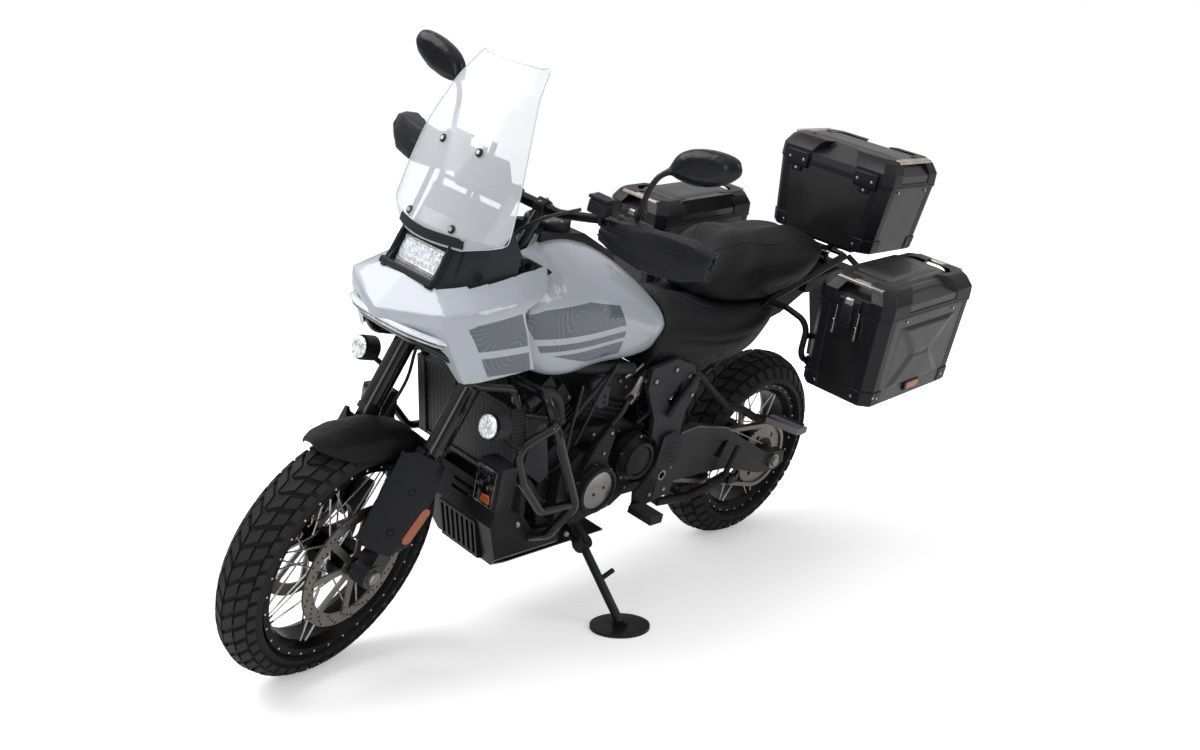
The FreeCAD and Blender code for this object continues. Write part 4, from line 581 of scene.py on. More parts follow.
# Tyres. Radial rubber with an adventure pattern: a dark carcass, and blocks of tread in slanted rows
# with deep grooves between them, their tops on the real outside radius.
tread_rubber = coated("tread rubber", "#161616", 0.66, 1.6, 0.5, worn="#38383A", edge=0.35)
wall_rubber = coated("side wall rubber", "#141415", 0.58, 2.2, 0.25)
TREAD_DEPTH, TYRE_STEPS = 7.0, 120
BLOCK_FACES = [(0, 1, 2, 3), (4, 5, 6, 7), (0, 1, 5, 4), (1, 2, 6, 5), (2, 3, 7, 6), (3, 0, 4, 7)]


def wheel_point(centre, x, y, z):
    """A point of a wheel, from its own centre, in upright millimetres."""
    return np.stack([x + centre[0], y, z + centre[2]], -1)


def tyre_pieces(name, centre, body, outer, half, crown, bead, bead_half, around, rows):
    """Carcass: a profile (y, r) turned about the axle, r = R - c + c cos(y/c) less the tread's depth.
    Blocks: eight-cornered, at row angles across the crown, slanted so that the pattern points ahead."""
    widest = outer - crown + math.sqrt(crown ** 2 - half ** 2)
    top_angle = np.arcsin(half / crown) * np.linspace(-1, 1, 25)
    wall_y, wall_r = bead_half + 0.75 * (half - bead_half) + 3, (bead + widest) / 2
    y = np.concatenate([[-bead_half, -bead_half, -wall_y], (crown - TREAD_DEPTH) * np.sin(top_angle),
                        [wall_y, bead_half, bead_half, 0]])
    r = np.concatenate([[bead, bead + 12, wall_r], outer - crown + (crown - TREAD_DEPTH) * np.cos(top_angle),
                        [wall_r, bead + 12, bead, bead]])
    turn = circle(TYRE_STEPS)[:, None]
    carcass = wheel_point(centre, r * np.cos(turn), np.broadcast_to(y, (TYRE_STEPS, len(y))),
                          r * np.sin(turn))
    piece(name + "_carcass", carcass, grid_faces(TYRE_STEPS, len(y), True, True), wall_rubber, body, 50,
          (name,))
    pitch = 2 * np.pi / around
    foot = np.array([1, 1, 1, 1, 0, 0, 0, 0]) == 1
    radius = np.where(foot, crown - TREAD_DEPTH - 1, crown)
    blocks = []
    for low, high, slant, share, phase in rows:
        step, tilt = pitch * share, pitch * slant
        middle = (step + tilt) / 2
        spread = np.tile([0, tilt, tilt + step, step], 2) - middle
        spread = spread * np.where(foot, 1.06, 0.94) + middle
        for side, shift in ((-1, 1.5), (1, 1)):
            phi = np.tile([low, high, high, low], 2) * math.asin(half / crown) * side
            rr = outer - crown + radius * np.cos(phi)
            angle = (np.arange(around) + phase * shift)[:, None] * pitch + spread
            blocks.append(wheel_point(centre, rr * np.cos(angle),
                                      np.broadcast_to(radius * np.sin(phi), angle.shape),
                                      rr * np.sin(angle)).reshape(-1, 3))
    blocks = np.concatenate(blocks)
    faces = (np.array(BLOCK_FACES)[None] + np.arange(0, len(blocks), 8)[:, None, None]).reshape(-1, 4)
    piece(name + "_tread", blocks, faces, tread_rubber, body, 20)


front_hub = (WHEELBASE, 0, FRONT_R)
rear_hub = (0, 0, REAR_R)
tyre_pieces("front_tyre", front_hub, "front_wheel", FRONT_R, 58, 60, 242, 41, 46,
            [(0.03, 0.34, 0.55, 0.70, 0.0), (0.40, 0.70, 0.35, 0.66, 0.5), (0.76, 0.995, 0.12, 0.72, 0.2)])
tyre_pieces("rear_tyre", rear_hub, "rear_wheel", REAR_R, 84, 88, 217, 56, 40,
            [(0.03, 0.30, 0.55, 0.70, 0.0), (0.36, 0.62, 0.35, 0.66, 0.5), (0.68, 0.99, 0.15, 0.72, 0.2)])


# Wheels. Anodised black rims and hubs laced with bright stainless spokes, and white dots round the
# flange where the nipples are sealed.
def laced_wheel(name, centre, turned, hub_r, rim_r):
    """Black where the distance from the axle is under hub_r or over rim_r, steel between: the distance
    is that of the point's two coordinates square to the axle."""
    made, tree = part_material(name)
    place = object_place(tree)
    middle = stand(np.array([centre]), turned)[0]
    axle = stand(np.array([[centre[0], 100.0, centre[2]]]), turned)[0] - middle
    axle = axle / np.linalg.norm(axle)
    off = vectors(tree, "CROSS_PRODUCT", vectors(tree, "SUBTRACT", place, tuple(middle)), tuple(axle))
    far = vectors(tree, "LENGTH", off, out="Value")
    wire = maths(tree, "MULTIPLY", maths(tree, "GREATER_THAN", far, hub_r / 1000),
                 maths(tree, "LESS_THAN", far, rim_r / 1000))
    surface(tree, blend(tree, wire, "#121214", "#C9CACB"), ramp(tree, wire, to=(0.36, 0.22)),
            bumps(tree, noise(tree, place, 500.0), 0.15, 0.0004), Metallic=0.85)
    return made


dress(laced_wheel("laced front wheel", front_hub, True, 51, 218), "front_wheel")
dress(laced_wheel("laced rear wheel", rear_hub, False, 67, 194), "rear_wheel")
for name, (x, _, z), body, radius, y in (("front_rim_dots", front_hub, "front_wheel", 246.0, 48.6),
                                         ("rear_rim_dots", rear_hub, "rear_wheel", 221.0, 63.6)):
    for side, word in SIDES:
        studs(name + "_" + word, bolt_circle(x, side * y, z, radius, 32), (0, side, 0), 2.6, 0.8, white_seal,
              body, 8)

# Brake discs. Stainless rings drilled through in a repeating pattern of slanted rows. The holes are
# drawn as dark discs flush with the faces.
drill_black = coated("shadow of a drilled hole", "#0A0A0A", 0.8, 2.0, 0.1)
slanted = np.tile([0, 7, 14, 21], 18)
for name, (x, _, z), body, outer, y, sides in (
    ("front_disc_holes", front_hub, "front_wheel", 160.0, 73.5, SIDES),
    ("rear_disc_holes", rear_hub, "rear_wheel", 140.0, 78.5, SIDES[1:]),
):
    for side, word in sides:
        studs(name + "_" + word, bolt_circle(x, side * y, z, outer - 6 - slanted, 72), (0, side, 0),
              3.4, 0.25, drill_black, body, 10)


# Smooth shells. The painted nose and tank, the mudguard, the hand and fork guards and the mirrors are
# the CAD solids' own surfaces, divided fine and relaxed so that shallow folds run into each other.
def held(start, move, cap):
    """start + move, with no point moved further than cap."""
    size = np.linalg.norm(move, axis=1, keepdims=True)
    return start + move * np.minimum(1, cap / np.maximum(size, 1e-9))


def softened(name, node, material, body, cell, rounds, cap, bend_deg, slot):
    """The skin of a CAD node cut into cells, then each point moved again and again to the mean of its
    neighbours, p = (p + mean) / 2, and kept within cap of where it began."""
    work = bmesh.new()
    work.from_mesh(frame["nodes"][node].data)
    bmesh.ops.remove_doubles(work, verts=work.verts, dist=1e-5)
    for _ in range(7):
        long_edges = [e for e in work.edges if e.calc_length() > cell * 1.6]
        if not long_edges:
            break
        bmesh.ops.subdivide_edges(work, edges=long_edges, cuts=1)
        bmesh.ops.triangulate(work, faces=work.faces)
    work.verts.index_update()
    start = np.array([v.co for v in work.verts])
    near, far = np.array([[v.index for v in e.verts] for e in work.edges]).T
    count = np.bincount(np.concatenate([near, far]), minlength=len(start))[:, None]
    now = start.copy()
    for _ in range(rounds):
        total = np.stack([np.bincount(near, now[far, k], len(now)) + np.bincount(far, now[near, k], len(now))
                          for k in range(3)], 1)
        now = held(start, (now + total / np.maximum(count, 1)) / 2 - start, cap)
    faces = [[v.index for v in f.verts] for f in work.faces]
    work.free()
    grown(name, now, faces, material, body, bend_deg, (node,))


for row in (
    ("nose_shell", "front_fairing", paint, "chassis", 0.010, 60, 0.005, 42, "paint"),
    ("tank_shell", "fuel_tank", paint, "chassis", 0.010, 12, 0.002, 42, "paint"),
    ("front_mudguard", "front_fender", black_nylon, "steering", 0.010, 50, 0.004, 42, "plastic_black"),
    ("hand_guard_shells", "hand_guards", guard_plastic, "steering", 0.007, 60, 0.005, 48, "plastic_dark"),
    ("fork_guard_shells", "fork_guards", guard_plastic, "steering", 0.008, 12, 0.003, 42, "plastic_dark"),
    ("mirror_shells", "mirrors", mirror_shell, "steering", 0.006, 30, 0.003, 50, "plastic_black"),
):
    softened(*row)


# Seats. Two foam cushions in grained black cover material, sewn along the sides. Each grows a little
# from the CAD solid by a short cloth simulation, and its seams lie on it as thin piping.
seat_cover, tree = part_material("grained seat vinyl")
place = object_place(tree)
folds = noise(tree, place, 26.0, 3.0)
grain = maths(tree, "MULTIPLY_ADD", folds, 0.6, cells(tree, place, 700.0))
surface(tree, blend(tree, folds, "#0A0A0C", "#111114"), 0.50, bumps(tree, grain, 0.35, 0.0008),
        Specular_IOR_Level=0.22)
COVER_CELL, CLOTH_FRAMES, PRESSURE, DRAWN_IN, COVER_CAP = 0.006, 20, 2.0, 0.004, 0.003


def as_shown(made):
    """The object's mesh as its modifiers leave it, which are then taken off."""
    mesh = bpy.data.meshes.new_from_object(made.evaluated_get(bpy.context.evaluated_depsgraph_get()))
    made.modifiers.clear()
    return mesh


def points_of(mesh):
    flat = np.zeros(len(mesh.vertices) * 3)
    mesh.vertices.foreach_get("co", flat)
    return flat.reshape(-1, 3)


def cushion(name, node):
    """The CAD solid's skin, remeshed in even cells, drawn in and blown up by cloth pressure, and kept
    within a cap of where it began."""
    work = bmesh.new()
    work.from_mesh(frame["nodes"][node].data)
    bmesh.ops.remove_doubles(work, verts=work.verts, dist=1e-5)
    mesh = bpy.data.meshes.new(name)
    work.to_mesh(mesh)
    work.free()
    made = bpy.data.objects.new(name, mesh)
    scene.collection.objects.link(made)
    voxels = made.modifiers.new("even cells", "REMESH")
    voxels.mode, voxels.voxel_size = "VOXEL", COVER_CELL
    relax = made.modifiers.new("round edges", "SMOOTH")
    relax.factor, relax.iterations = 0.5, 6
    scene.frame_set(1)
    ready = as_shown(made)
    made.data = ready
    start = points_of(ready)
    inward = start - np.array([v.normal for v in ready.vertices]) * DRAWN_IN
    ready.vertices.foreach_set("co", inward.reshape(-1))
    cloth = made.modifiers.new("cloth", "CLOTH")
    cloth.settings.quality = 4
    cloth.settings.use_pressure = True
    cloth.settings.uniform_pressure_force = PRESSURE
    cloth.settings.effector_weights.gravity = 0
    cloth.point_cache.frame_end = CLOTH_FRAMES
    for f in range(1, CLOTH_FRAMES + 1):
        scene.frame_set(f)
    blown = as_shown(made)
    ready.vertices.foreach_set("co", held(start, points_of(blown) - start, COVER_CAP).reshape(-1))
    scene.frame_set(1)
    ready.materials.clear()
    ready.materials.append(seat_cover)
    ready.shade_smooth()
    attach(made, "chassis")
    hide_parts(node)
    return made


rider_cushion = cushion("rider_cushion", "rider_seat")
passenger_cushion = cushion("passenger_cushion", "passenger_seat")
thread = coated("sewn seat piping", "#1C1C20", 0.5, 0.8, 0.3, worn="#2C2C30")
PIPING_R, DROP_FROM = 0.0022, 1400


def stitch(name, cushion_piece, plan):
    """Piping along a line seen in plan: each upright (x, y) is dropped down the machine's own up axis on to
    the cushion and kept where it lands."""
    mesh = cushion_piece.data
    cover = BVHTree.FromPolygons([v.co for v in mesh.vertices], [list(f.vertices) for f in mesh.polygons])
    hits = [cover.ray_cast(Vector(stand([(x, y, DROP_FROM)])[0]), Vector(-up_way))[0] for x, y in plan]
    line = np.array([hit for hit in hits if hit is not None])
    ways = np.gradient(line, axis=0)
    ways /= np.linalg.norm(ways, axis=1, keepdims=True)
    side = np.cross(ways, up_way)[:, None]
    rise = np.cross(side, ways[:, None])
    turn = circle(6)[None, :, None]
    rings = line[:, None] + PIPING_R * (np.cos(turn) * side + np.sin(turn) * rise)
    grown(name, rings.reshape(-1, 3), tube_faces(len(line), 6), thread, "chassis", 32)


def seat_reach(node):
    """The upright extent of a seat in X and Y, millimetres."""
    points = np.array([v.co for v in frame["nodes"][node].data.vertices]) - floor_at
    along, across = points @ forward_way * 1000, points @ left_way * 1000
    return along.min(), along.max(), abs(across).max()


def seam_arc(middle, reach, half):
    """A half turn of an ellipse in plan, open to the rear."""
    return [(middle + reach * math.cos(t), half * math.sin(t)) for t in np.linspace(-np.pi / 2, np.pi / 2,
                                                                                    33)]


back, front, half = seat_reach("passenger_seat")
long = front - back
stitch("passenger_seam_outer", passenger_cushion, [(back + 26, -0.66 * half)]
       + seam_arc(front - 0.42 * long, 0.34 * long, 0.66 * half) + [(back + 26, 0.66 * half)])
stitch("passenger_seam_cross", passenger_cushion,
       [(back + 0.45 * long, y) for y in np.linspace(-0.64 * half, 0.64 * half, 25)])
back, front, half = seat_reach("rider_seat")
long = front - back
for k, share in enumerate((0.50, 0.38)):
    stitch("rider_seam_%d" % k, rider_cushion,
           seam_arc(front - (share + 0.02) * long, 0.20 * long, 0.62 * half))


# Luggage. Three cases folded from aluminium sheet and powder coated a fine black, with moulded nylon
# corners riveted on, bare tie-down bars across the lids, latches on the fronts and pressed stiffening.
case_sheet = coated("textured black aluminium", "#141417", 0.34, 1.1, 0.20, metallic=0.45, coat=0.15,
                    worn="#3A3A3C", gleam=0.9)
dress(case_sheet, "top_case", "left_case", "right_case", "top_case_lid", "left_case_lid", "right_case_lid")
case_nylon = coated("moulded case corner", "#0C0C10", 0.38, 1.4, 0.3, worn="#26262A", gleam=0.3)
bright_bar = bare_metal("brushed bare aluminium bar", "#EADFD4", 0.30, streak=(1.0, 1.0, 8.0))
rivet_steel = bare_metal("polished rivet", "#D6D6D6", 0.18)


def case_place(at, pitch_deg, side=1):
    """From a case's own frame to upright: turned about Y by its pitch, moved, and mirrored for the right."""
    def put(p):
        return tilted(np.asarray(p, float) + (0, at[1], 0), math.radians(pitch_deg), at[0], at[2]) * (1, side,
                                                                                                      1)
    return put


def eight_corners(size, z, out=0.0, corner=26.0):
    """The case's section at a height: a rectangle with cut corners that draws in with its tapers."""
    length, width, height, lid, taper_x, taper_out, taper_in, top_x, top_out, top_in = size
    seam = height - lid
    if z <= seam:
        k = 1 - z / seam
        dx, far, near = k * taper_x, k * taper_out, k * taper_in
    else:
        k = min(1, max(0, (z - (seam + 0.42 * lid)) / (0.58 * lid)))
        dx, far, near = k * top_x, k * top_out, k * top_in
    x0, x1 = -length / 2 + dx - out, length / 2 - dx + out
    y0, y1 = -width / 2 + near - out, width / 2 - far + out
    c = corner
    return np.array([(x0 + c, y0, z), (x1 - c, y0, z), (x1, y0 + c, z), (x1, y1 - c, z), (x1 - c, y1, z),
                     (x0 + c, y1, z), (x0, y1 - c, z), (x0, y0 + c, z)], float)


def corner_shell(name, size, levels, reach, corner_no, out, thick, body, put):
    """A cap round one corner: at each level (section height, inset, real height) the cut corner's two
    points and one point reach along each neighbouring side, and the same again thick further in."""
    rows = []
    for z, shrink, real_z in levels:
        ring = eight_corners(size, z, out - shrink)
        ring[:, 2] = real_z
        before, a, b, after = (ring[(2 * corner_no + k) % 8] for k in range(4))
        span_a, span_b = before - a, after - b
        reach_a, reach_b = reach[::-1] if corner_no % 2 else reach
        rows.append([a + span_a * min(0.47, reach_a / np.linalg.norm(span_a)), a, b,
                     b + span_b * min(0.47, reach_b / np.linalg.norm(span_b))])
    outer = np.array(rows)
    middle = eight_corners(size, 0)[:, :2].mean(0)
    inward = np.concatenate([middle - outer[..., :2], np.zeros(outer.shape[:2] + (1,))], -1)
    inner = outer + inward / np.linalg.norm(inward, axis=-1, keepdims=True) * thick
    skin(name, np.concatenate([outer, inner[:, ::-1]], 1), case_nylon, body, 25, 1.6, put)


def plateau(a, b):
    """A raised field of 4 mm with slopes an eighth of its size: the least of four ramps."""
    return 4.0 * np.minimum.reduce([np.clip(8 * v, 0, 1) for v in (a, 1 - a, b, 1 - b)]) + 0.6


def low_ridge(a, b):
    return 0.5 + 3.0 * np.clip(9 * np.minimum(a, 1 - a), 0, 1) * np.clip(4 * np.minimum(b, 1 - b), 0, 1)


def hourglass(a, b):
    """Pressed stiffening that narrows to a waist: h = 6 t^2 (3 - 2 t), t running 0 to 1 across the soft edge
    where |u| passes the half-width 0.30 + 0.62 |v|, with a slot across the waist."""
    u, v = np.abs(2 * a - 1), np.abs(2 * b - 1)
    t = np.clip((0.30 + 0.62 * v - u) / 0.26 + 0.5, 0, 1)
    slot = (u < 0.24) & (np.abs(b - 0.5) < 0.026)
    fade = np.clip((1 - v) * 8, 0, 1) * np.clip((1 - u) * 10, 0, 1)
    return 0.6 + fade * (6.0 * t * t * (3 - 2 * t)) - 2.4 * slot


top_size = (298, 416, 296, 75, 5, 24, 24, 70, 34, 34)
side_size = (470, 236, 340, 72, 9, 11, 0, 88, 58, 16)
luggage = (
    ("top_case", "top_case_lid", top_size, case_place((-307, 0, 1014.54), 2.0)),
    ("left_case", "left_case_lid", side_size, case_place((-6, 418, 712), 4.5)),
    ("right_case", "right_case_lid", side_size, case_place((-6, 418, 712), 4.5, -1)),
)
for name, lid_body, size, put in luggage:
    length, width, height, lid, taper_x, taper_out, taper_in, top_x, top_out, top_in = size
    seam = height - lid
    low = seam + 3
    for i in range(4):
        corner_shell(name + "_lid_corner_%d" % i, size,
                     [(low, 0, low), (low, 1, seam + 0.5 * lid), (low, 16, height - 9),
                      (low, 30, height + 2)],
                     (46, 100) if name == "top_case" else (84, 40), i, 3.2, 40, lid_body, put)
        corner_shell(name + "_strip_%d" % i, size, [(46, 0, 46), (seam - 8, 0, seam - 8)],
                     (26, 26), i, 1.0, 5, "chassis", put)
        corner_shell(name + "_foot_%d" % i, size, [(-1.5, 6, -1.5), (6, 0, 6), (44, 0, 44)],
                     (42, 36), i, 3.4, 7, "chassis", put)
    for word, body, levels in (
        ("_seam_band", "chassis", ((-7, 2.6), (-2, 3.4), (-0.2, 3.4), (-0.2, -2), (-7, -2))),
        ("_lid_band", lid_body, ((0.8, 2.8), (9, 2.8), (9, -2), (0.8, -2))),
    ):
        band = np.array([eight_corners(size, seam + z, out) for z, out in levels])
        piece(name + word, put(band), grid_faces(len(band), 8, True, True), case_nylon, body, 30)

    spots, ways = [], []
    for sx in (-1, 1):
        for sy, far in ((1, taper_out), (-1, taper_in)):
            edge = width / 2 - far
            y_low = sy * edge + sy * 3.6
            spots += [(sx * (length / 2 - 56), y_low, 24), (sx * (length / 2 - 34), y_low, 30),
                      (sx * (length / 2 - taper_x + 3.4), sy * (edge - 50), 20)]
            ways += [(0, sy, 0), (0, sy, 0), (sx, 0, 0)]
        spots += [(sx * 0.27 * length, width / 2 + 0.4, seam - 18)]
        ways += [(0, 1, 0)]
    up_spots = put(spots)
    studs(name + "_rivets", up_spots, put(np.add(spots, ways)) - up_spots, 4.4, 2.2, rivet_steel, sides=10)

    x0, x1 = -length / 2 + top_x + 18, length / 2 - top_x - 18
    y0, y1 = -width / 2 + top_in + 20, width / 2 - top_out - 16
    relief(name + "_lid_field", (x0, y0, height), (x1 - x0, 0, 0), (0, y1 - y0, 0), plateau, lid_body, put)

LATCH_CLIP = ((6, -88), (16, -84), (17, -44), (6, -40))
LATCH_ARM = ((4, -40), (12, -40), (12, -4), (4, -4))
LATCH = (
    ("_latch_plate", (-38, 30), ((-2, -92), (8, -88), (12, -8), (12, 24), (-2, 30)), case_nylon, 2.0),
    ("_latch_catch", (-22, 14), ((8, -60), (18, -56), (20, 4), (12, 22), (6, 22)), case_nylon, 2.0),
    ("_latch_clip_0", (-42, -35), LATCH_CLIP, rivet_steel, 1.0),
    ("_latch_arm_0", (-41, -37), LATCH_ARM, rivet_steel, 1.0),
    ("_latch_clip_1", (30, 37), LATCH_CLIP, rivet_steel, 1.0),
    ("_latch_arm_1", (31, 35), LATCH_ARM, rivet_steel, 1.0),
    ("_latch_hook", (-16, 8), ((12, 4), (17, 8), (15, 26), (8, 30)), rivet_steel, 1.5),
)
for name, lid_body, size, put in luggage[1:]:
    length, width, height, lid = size[:4]
    seam = height - lid
    relief(name + "_pressing", (150, width / 2 - 10.2, 40), (-300, 0, 0), (0, 9.4, seam - 74), hourglass,
           "chassis", put, (90, 60))
    relief(name + "_lid_pressing", (118, width / 2 + 0.5 - 27, height - 20.5), (-236, 0, 0), (0, -22, 13.6),
           low_ridge, lid_body, put)
    for sx, word in ((-1, "_rear_bar"), (1, "_front_bar")):
        x_top = sx * (length / 2 - 25)
        skin(name + word,
             swept(-width / 2 + 44, width / 2 - 46, (x_top - 11, height - 8), (x_top + 11, height - 10),
                   (x_top + 11, height - 1), (x_top - 11, height + 1)),
             bright_bar, lid_body, bevel=1.2, place=put)
    for word, reach, corners, material, bevel in LATCH:
        skin(name + word, swept(*reach, *[(length / 2 + x, seam + z) for x, z in corners]), material,
             bevel=bevel, place=put)
    face = width / 2
    skin(name + "_reflector_base", swept(face - 10, face - 3, (38, 18), (-38, 18), (-38, 46), (38, 46)),
         case_nylon, bevel=2, place=put)
    skin(name + "_reflector",
         [section(face - 6, (34, 21), (-28, 21), (-34, 28), (-34, 44), (30, 44), (34, 38)),
          section(face, (32, 23), (-26, 23), (-32, 29), (-32, 42), (28, 42), (32, 37))],
         amber, bevel=1.5, place=put)

name, lid_body, size, put = luggage[0]
length, width, height, lid = size[:4]
seam = height - lid
for side, word in SIDES:
    y_top, y_latch = side * (width / 2 - 22), side * 128
    skin("top_case_%s_bar" % word,
         [[(x, y_top - 11, height - 6), (x, y_top + 11, height - 8), (x, y_top + 11, height + 1),
           (x, y_top - 11, height + 3)] for x in (-length / 2 + 56, length / 2 - 56)],
         bright_bar, lid_body, bevel=1.2, place=put)
    for made, body, half, bevel, corners in (
        ("top_case_latch_", lid_body, 40, 2.5, ((-2, -22), (10, -18), (14, 2), (12, 28), (-2, 32))),
        ("top_case_catch_", "chassis", 18, 2.0, ((-2, -38), (6, -34), (8, -4), (-2, -2))),
    ):
        skin(made + word, swept(y_latch - half, y_latch + half,
                                *[(length / 2 + x, seam + z) for x, z in corners]),
             case_nylon, body, bevel=bevel, place=put)
    spots = np.array([(length / 2 + 6.5, y_latch, seam - 28), (length / 2 + 13, y_latch - 26, seam + 4),
                      (length / 2 + 13, y_latch + 26, seam + 4)])
    studs("top_case_latch_rivets_" + word, put(spots), put(spots + [1, 0, 0]) - put(spots), 4.6, 2.0,
          rivet_steel, sides=10)

# Lamps. Two round spot lamps with clear dished glasses under the nose and two square ones with a
# reflector bowl above an amber turn light, each in a black die-cast housing.
bowl_silver = bare_metal("vacuum-plated reflector bowl", "#6E7177", 0.16)
for side, word in SIDES:
    studs("round_lamp_glass_" + word, [(1386, side * 246, 720.4)], (0.97, 0.0, 0.19), 28.0, 7.0, lamp_glass,
          sides=32, dome=0.6)
    for made, xs, corners, material, bevel in (
        ("square_lamp_cover_", (1343.5, 1347), ((198, 508), (262, 508), (262, 602), (198, 602)),
         dark_glass_painted_glints, 2.5),
        ("square_lamp_turn_light_", (1346, 1349), ((222, 515), (254, 515), (252, 536), (226, 536)),
         amber, 1.5),
    ):
        skin(made + word, [[(x, side * y, z) for y, z in corners] for x in xs], material, bevel=bevel)
    for k, (y, z, r) in enumerate(((212, 582, 13), (246, 582, 13), (214, 554, 10), (246, 554, 10))):
        lathed("square_lamp_bowl_%s_%d" % (word, k), (1347, side * y, z),
               ((r, 0), (r, 1.6), (r - 2, 1.6), (r * 0.6, 0.5), (0.5, 0.2), (0.5, 0)),
               ((0, 1, 0), (0, 0, 1), (1, 0, 0)), bowl_silver, 20, 40)
    for k in range(6):
        z = 512 + 15 * k
        skin("square_lamp_fin_%s_%d" % (word, k),
             brick((1280, side * 230 - 34, z), (1289, side * 230 + 34, z + 4)),
             black_nylon, bevel=0.8)

# Headlamp. A bright chromed frame round the faceted lens, between two dark rails that also carry the
# screen, with a screw at the top of each, and a clear light bar under the painted nose.
chrome = bare_metal("bright chromed plastic", "#E6E8EA", 0.10)


def on_pod(points):
    """Headlamp face coordinates (x out, y left, z up its slope) to upright: turned back 22 degrees."""
    return tilted(points, math.radians(-22), 1462, 1004)


LENS_W, LENS_LOW, LENS_HIGH = 73, 11, 73
for word, low, high in (
    ("bottom", (-4, -LENS_W, LENS_LOW), (3, LENS_W, LENS_LOW + 9)),
    ("top", (-4, -LENS_W, LENS_HIGH - 4), (1, LENS_W, LENS_HIGH)),
    ("left", (-4, LENS_W - 7, LENS_LOW), (2, LENS_W, LENS_HIGH)),
    ("right", (-4, -LENS_W, LENS_LOW), (2, -LENS_W + 7, LENS_HIGH)),
):
    skin("headlamp_frame_" + word, brick(low, high), chrome, bevel=1.0, place=on_pod)
facets = np.array([(0.5, y, z) for y in np.linspace(-56, 56, 9) for z in (30, 46, 61)])
studs("headlamp_facets", on_pod(facets), on_pod(facets + [1, 0, 0]) - on_pod(facets), 6.4, 3.0, lens, sides=6,
      dome=0.8)
for side, word in SIDES:
    hand = np.array([1, side, 1])
    skin("headlamp_rail_" + word,
         np.array([[(1474, 80, 1006), (1477, 88, 1008), (1464, 97, 1006), (1460, 81, 1004)],
                   [(1446, 77, 1072), (1448, 85, 1074), (1436, 92, 1072), (1432, 78, 1070)],
                   [(1436, 75, 1094), (1438, 82, 1096), (1426, 88, 1094), (1422, 76, 1092)]]) * hand,
         guard_plastic, bevel=2.0)
    studs("headlamp_rail_screws_" + word, np.array([(1449, 82, 1066), (1467, 86, 1022)]) * hand,
          (0.9, 0, 0.42), 5.0, 2.2, black_nylon, sides=16)
    pipe("pod_seam_" + word,
         np.array([(1438, 104, 1003), (1421, 104, 1050), (1404, 97, 1086), (1362, 92, 1176)]) * hand,
         1.4, drill_black, steps=6, sides=6)
    studs("pod_screw_" + word, [(1386, side * 135, 1034)], (0.32, side * 0.94, 0.1), 10.0, 1.6, drill_black,
          sides=20)
skin("headlamp_sill", swept(-93, 93, (1489, 1004), (1483, 1019), (1462, 1015), (1466, 998)), guard_plastic,
     bevel=3)
bow = [(1462, 168, 897), (1496, 150, 903), (1528, 90, 909), (1540, 0, 912), (1528, -90, 909),
       (1496, -150, 903), (1462, -168, 897)]
pipe("nose_light_guide", bow, 11.0, light_bar, flat=0.6, steps=12)
pipe("nose_light_rim", [(x + 2, y, z - 12) for x, y, z in bow], 3.2, chrome, steps=12)
# Below the light bar a black band closes the opening under the nose towards the radiator: a dark sheet that
# stands in for the shade inside it, painted shade.
line = smooth_line([(1440, 176, 880), (1470, 150, 884), (1500, 90, 888), (1510, 0, 890), (1500, -90, 888),
                    (1470, -150, 884), (1440, -176, 880)], 8)
strip("nose_void_painted_shade", [line + [0, 0, 10], line, line * [0.97, 0.95, 1] + [0, 0, -16],
                         line * [0.955, 0.9, 1] + [0, 0, 8]], black_nylon)

# Screen furniture. The polycarbonate has a polished edge and sits on a dark rubber strip, held to its
# rails by four bolts through rubber washers.
screen_rows = np.array([(1088, 1456, 104, 1426), (1120, 1446, 188, 1384), (1150, 1432, 197, 1372),
                        (1230, 1408, 187, 1356), (1317, 1376, 170, 1336), (1400, 1340, 144, 1308),
                        (1434, 1322, 132, 1294), (1490, 1286, 111, 1258)])


def on_screen(z, y):
    """A point of the screen's front: a circle through the middle and both edges, x = m - s (y / half)^2."""
    mid, half, edge = (np.interp(z, screen_rows[:, 0], screen_rows[:, k]) for k in (1, 2, 3))
    return mid - (mid - edge) * (y / half) ** 2


edge_grey = coated("polished screen edge", "#C3C8CE", 0.25, 3.0, 0.05, worn="#C8CCD2", gleam=0.5)
left_edge = [(x, y, z) for z, _, y, x in screen_rows]
top_arc = [(on_screen(1490, y) - 1.5, y, 1490) for y in np.linspace(111, -111, 13)]
low_arc = [(on_screen(1088, y) - 1.5, y, 1088) for y in np.linspace(-104, 104, 13)]
outline = (left_edge + top_arc[1:-1] + [(x, -y, z) for x, y, z in left_edge[::-1]]
           + low_arc[1:-1] + left_edge[:1])
pipe("screen_edge", outline, 1.1, edge_grey, steps=3, sides=6)
line = np.array([(on_screen(1100, y) + 1, y, 1100 + abs(y) * 0.03) for y in np.linspace(-112, 112, 15)])
strip("screen_foot_strip", [line + [2, 0, -10], line + [4.5, 0, -8], line + [0, 0, 12], line + [-2.5, 0, 12]],
      guard_plastic)
bolts = np.array([(on_screen(z, y) + 0.5, y, z)
                  for z, y in ((1296, 62), (1296, -62), (1128, 74), (1128, -74))])
studs("screen_washers", bolts, (0.93, 0, 0.36), 10.0, 2.0, black_nylon, sides=20)
studs("screen_bolts", bolts + [2, 0, 0.6], (0.93, 0, 0.36), 6.0, 3.0, plated_steel, sides=6)
guard_line = ((1172, 218, 1212, 1150), (1192, 270, 1225, 1140), (1186, 350, 1232, 1128),
              (1152, 430, 1232, 1130))
